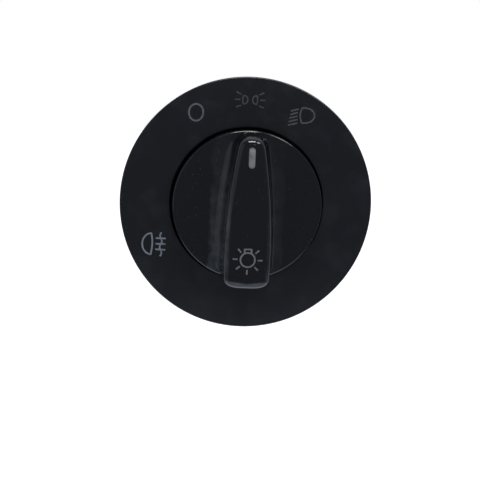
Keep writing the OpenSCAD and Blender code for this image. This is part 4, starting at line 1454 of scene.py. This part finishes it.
# ------------ Studio ------------
@dataclass
class Studio:
    """White surroundings, soft lamps and the camera at the photograph's angle."""

    azimuth: float = -4.4
    elevation: float = 7.6
    roll: float = 2.76
    distance: float = 0.5
    lens: float = 131.4
    shift: Flat = (-0.0125, -0.0775)
    aim: Point = (0.0, 0.0, 5.0)
    room_span: Flat = (-0.25, 0.8)
    bench_span: Flat = (-0.45, -0.8)
    floor_height: float = -0.12
    floor_half: float = 1.5
    floor_glow: float = 0.9
    room_level: float = 0.24
    bench_level: float = 1.4
    soft_level: float = 0.45

    def camera(self) -> None:
        """Place the camera."""
        a, e = math.radians(self.azimuth), math.radians(self.elevation)
        back = Vector((math.sin(a) * math.cos(e), -math.cos(a) * math.cos(e), math.sin(e)))
        data = bpy.data.cameras.new("camera")
        data.lens, data.sensor_width = self.lens, 36.0
        data.shift_x, data.shift_y = self.shift
        data.clip_start, data.clip_end = 0.01, 50.0
        camera = bpy.data.objects.new("camera", data)
        bpy.context.scene.collection.objects.link(camera)
        camera.rotation_mode = "QUATERNION"
        camera.location = row_point(self.aim) + back * self.distance
        camera.rotation_quaternion = (-back).to_track_quat("-Z", "Y") @ Quaternion(
            (0, 0, 1), math.radians(self.roll))
        bpy.context.scene.camera = camera

    def world(self) -> None:
        """Make the surroundings white, with a dim room behind the camera for the reflections."""
        world = bpy.data.worlds.new("studio")
        bpy.context.scene.world = world
        world.use_nodes = True
        tree = world.node_tree
        tree.nodes.clear()
        seen = seen_directly(tree)
        place = add_node(tree, "ShaderNodeTexCoord").outputs["Generated"]
        axes = add_node(tree, "ShaderNodeSeparateXYZ", links={"Vector": place}).outputs
        behind = map_range(tree, axes["Y"], *self.room_span, (self.room_level, 1.0), smooth=True)
        below = map_range(tree, axes["Z"], *self.bench_span, (0.0, self.bench_level), smooth=True)
        mirrored = add_node(tree, "ShaderNodeLightPath").outputs["Is Glossy Ray"]
        soft = add_node(tree, "ShaderNodeMix", {"data_type": "FLOAT"}, {
            0: mirrored, 2: self.soft_level, 3: maths(tree, "MAXIMUM", behind, below)})
        level = add_node(tree, "ShaderNodeMix", {"data_type": "FLOAT"}, {
            0: seen, 2: soft.outputs[0], 3: 1.0})
        tint = add_node(tree, "ShaderNodeMix", {"data_type": "RGBA"}, {
            0: seen, 6: linear("#e4eeff"), 7: (1, 1, 1, 1)})
        light = add_node(tree, "ShaderNodeBackground", links={
            "Color": tint.outputs[2], "Strength": level.outputs[0]})
        add_node(tree, "ShaderNodeOutputWorld", links={"Surface": light.outputs[0]})

    def floor(self) -> None:
        """Lay a pale floor that is white to the camera and still takes the shadow."""
        mesh = bpy.data.meshes.new("floor")
        s, z = self.floor_half, self.floor_height
        mesh.from_pydata([(-s, -s, z), (s, -s, z), (s, s, z), (-s, s, z)], [], [(0, 1, 2, 3)])
        floor = bpy.data.objects.new("floor", mesh)
        bpy.context.scene.collection.objects.link(floor)
        material = bpy.data.materials.new("studio_floor")
        material.use_nodes = True
        tree = material.node_tree
        tree.nodes.clear()
        glow = maths(tree, "MULTIPLY", seen_directly(tree), self.floor_glow)
        matt = add_node(tree, "ShaderNodeBsdfDiffuse", links={"Color": linear("#e6e6e4")})
        white = add_node(tree, "ShaderNodeEmission", links={"Strength": glow})
        both = add_node(tree, "ShaderNodeAddShader", links={
            0: matt.outputs[0], 1: white.outputs[0]})
        add_node(tree, "ShaderNodeOutputMaterial", links={"Surface": both.outputs[0]})
        mesh.materials.append(material)
        floor.visible_glossy = False

    def lamp(self, name: str, place: Point, size: Flat, power: float) -> None:
        """Hang a soft rectangular lamp that looks at the switch.

        Args:
            name: Name of the lamp.
            place: Where it hangs, in metres.
            size: Its width and height in metres.
            power: Its power in watts.
        """
        data = bpy.data.lights.new(name, "AREA")
        data.shape, data.size, data.size_y, data.energy = "RECTANGLE", *size, power
        lamp = bpy.data.objects.new(name, data)
        bpy.context.scene.collection.objects.link(lamp)
        lamp.location = place
        lamp.rotation_mode = "QUATERNION"
        lamp.rotation_quaternion = (-Vector(place)).to_track_quat("-Z", "Y")

    def build(self) -> None:
        """Set up the studio."""
        bpy.context.scene.view_settings.view_transform = "Standard"
        self.camera()
        self.world()
        self.floor()
        self.lamp("lamp_above", (0.0, -0.2, 0.6), (0.24, 0.2), 2.1)
        self.lamp("lamp_above_right", (0.31, -0.25, 0.5), (0.24, 0.16), 1.25)
        self.lamp("lamp_left", (-0.6, -0.28, 0.12), (0.5, 0.6), 0.25)
        log.info("studio: camera, world, floor and three lamps")


def main() -> None:
    """Build the switch in its studio, one sub-assembly after another."""
    logging.basicConfig(level=logging.INFO, format="%(message)s")
    plate, knob = Faceplate(), Knob()
    Studio().build()
    CarriedOver().build()
    plate.build()
    knob.build()
    Markings(plate, knob).build()
    Spring("push_spring", "shaft", 5.55, 0.7, 6.7, 5.0, (0, 0, -2.95), (90, 0, 0),
           "knob_push", 2.5).build()
    for side, name in ((1, "right"), (-1, "left")):
        Spring(f"latch_spring_{name}", "body", 1.5, 0.4, 9.5, 6.0, (side * 9.3, 0, -6.4),
               (0, side * 90, 0), f"latch_{name}_slide", 2.4).build()
    Terminals().build()


if __name__ == "__main__":
    main()
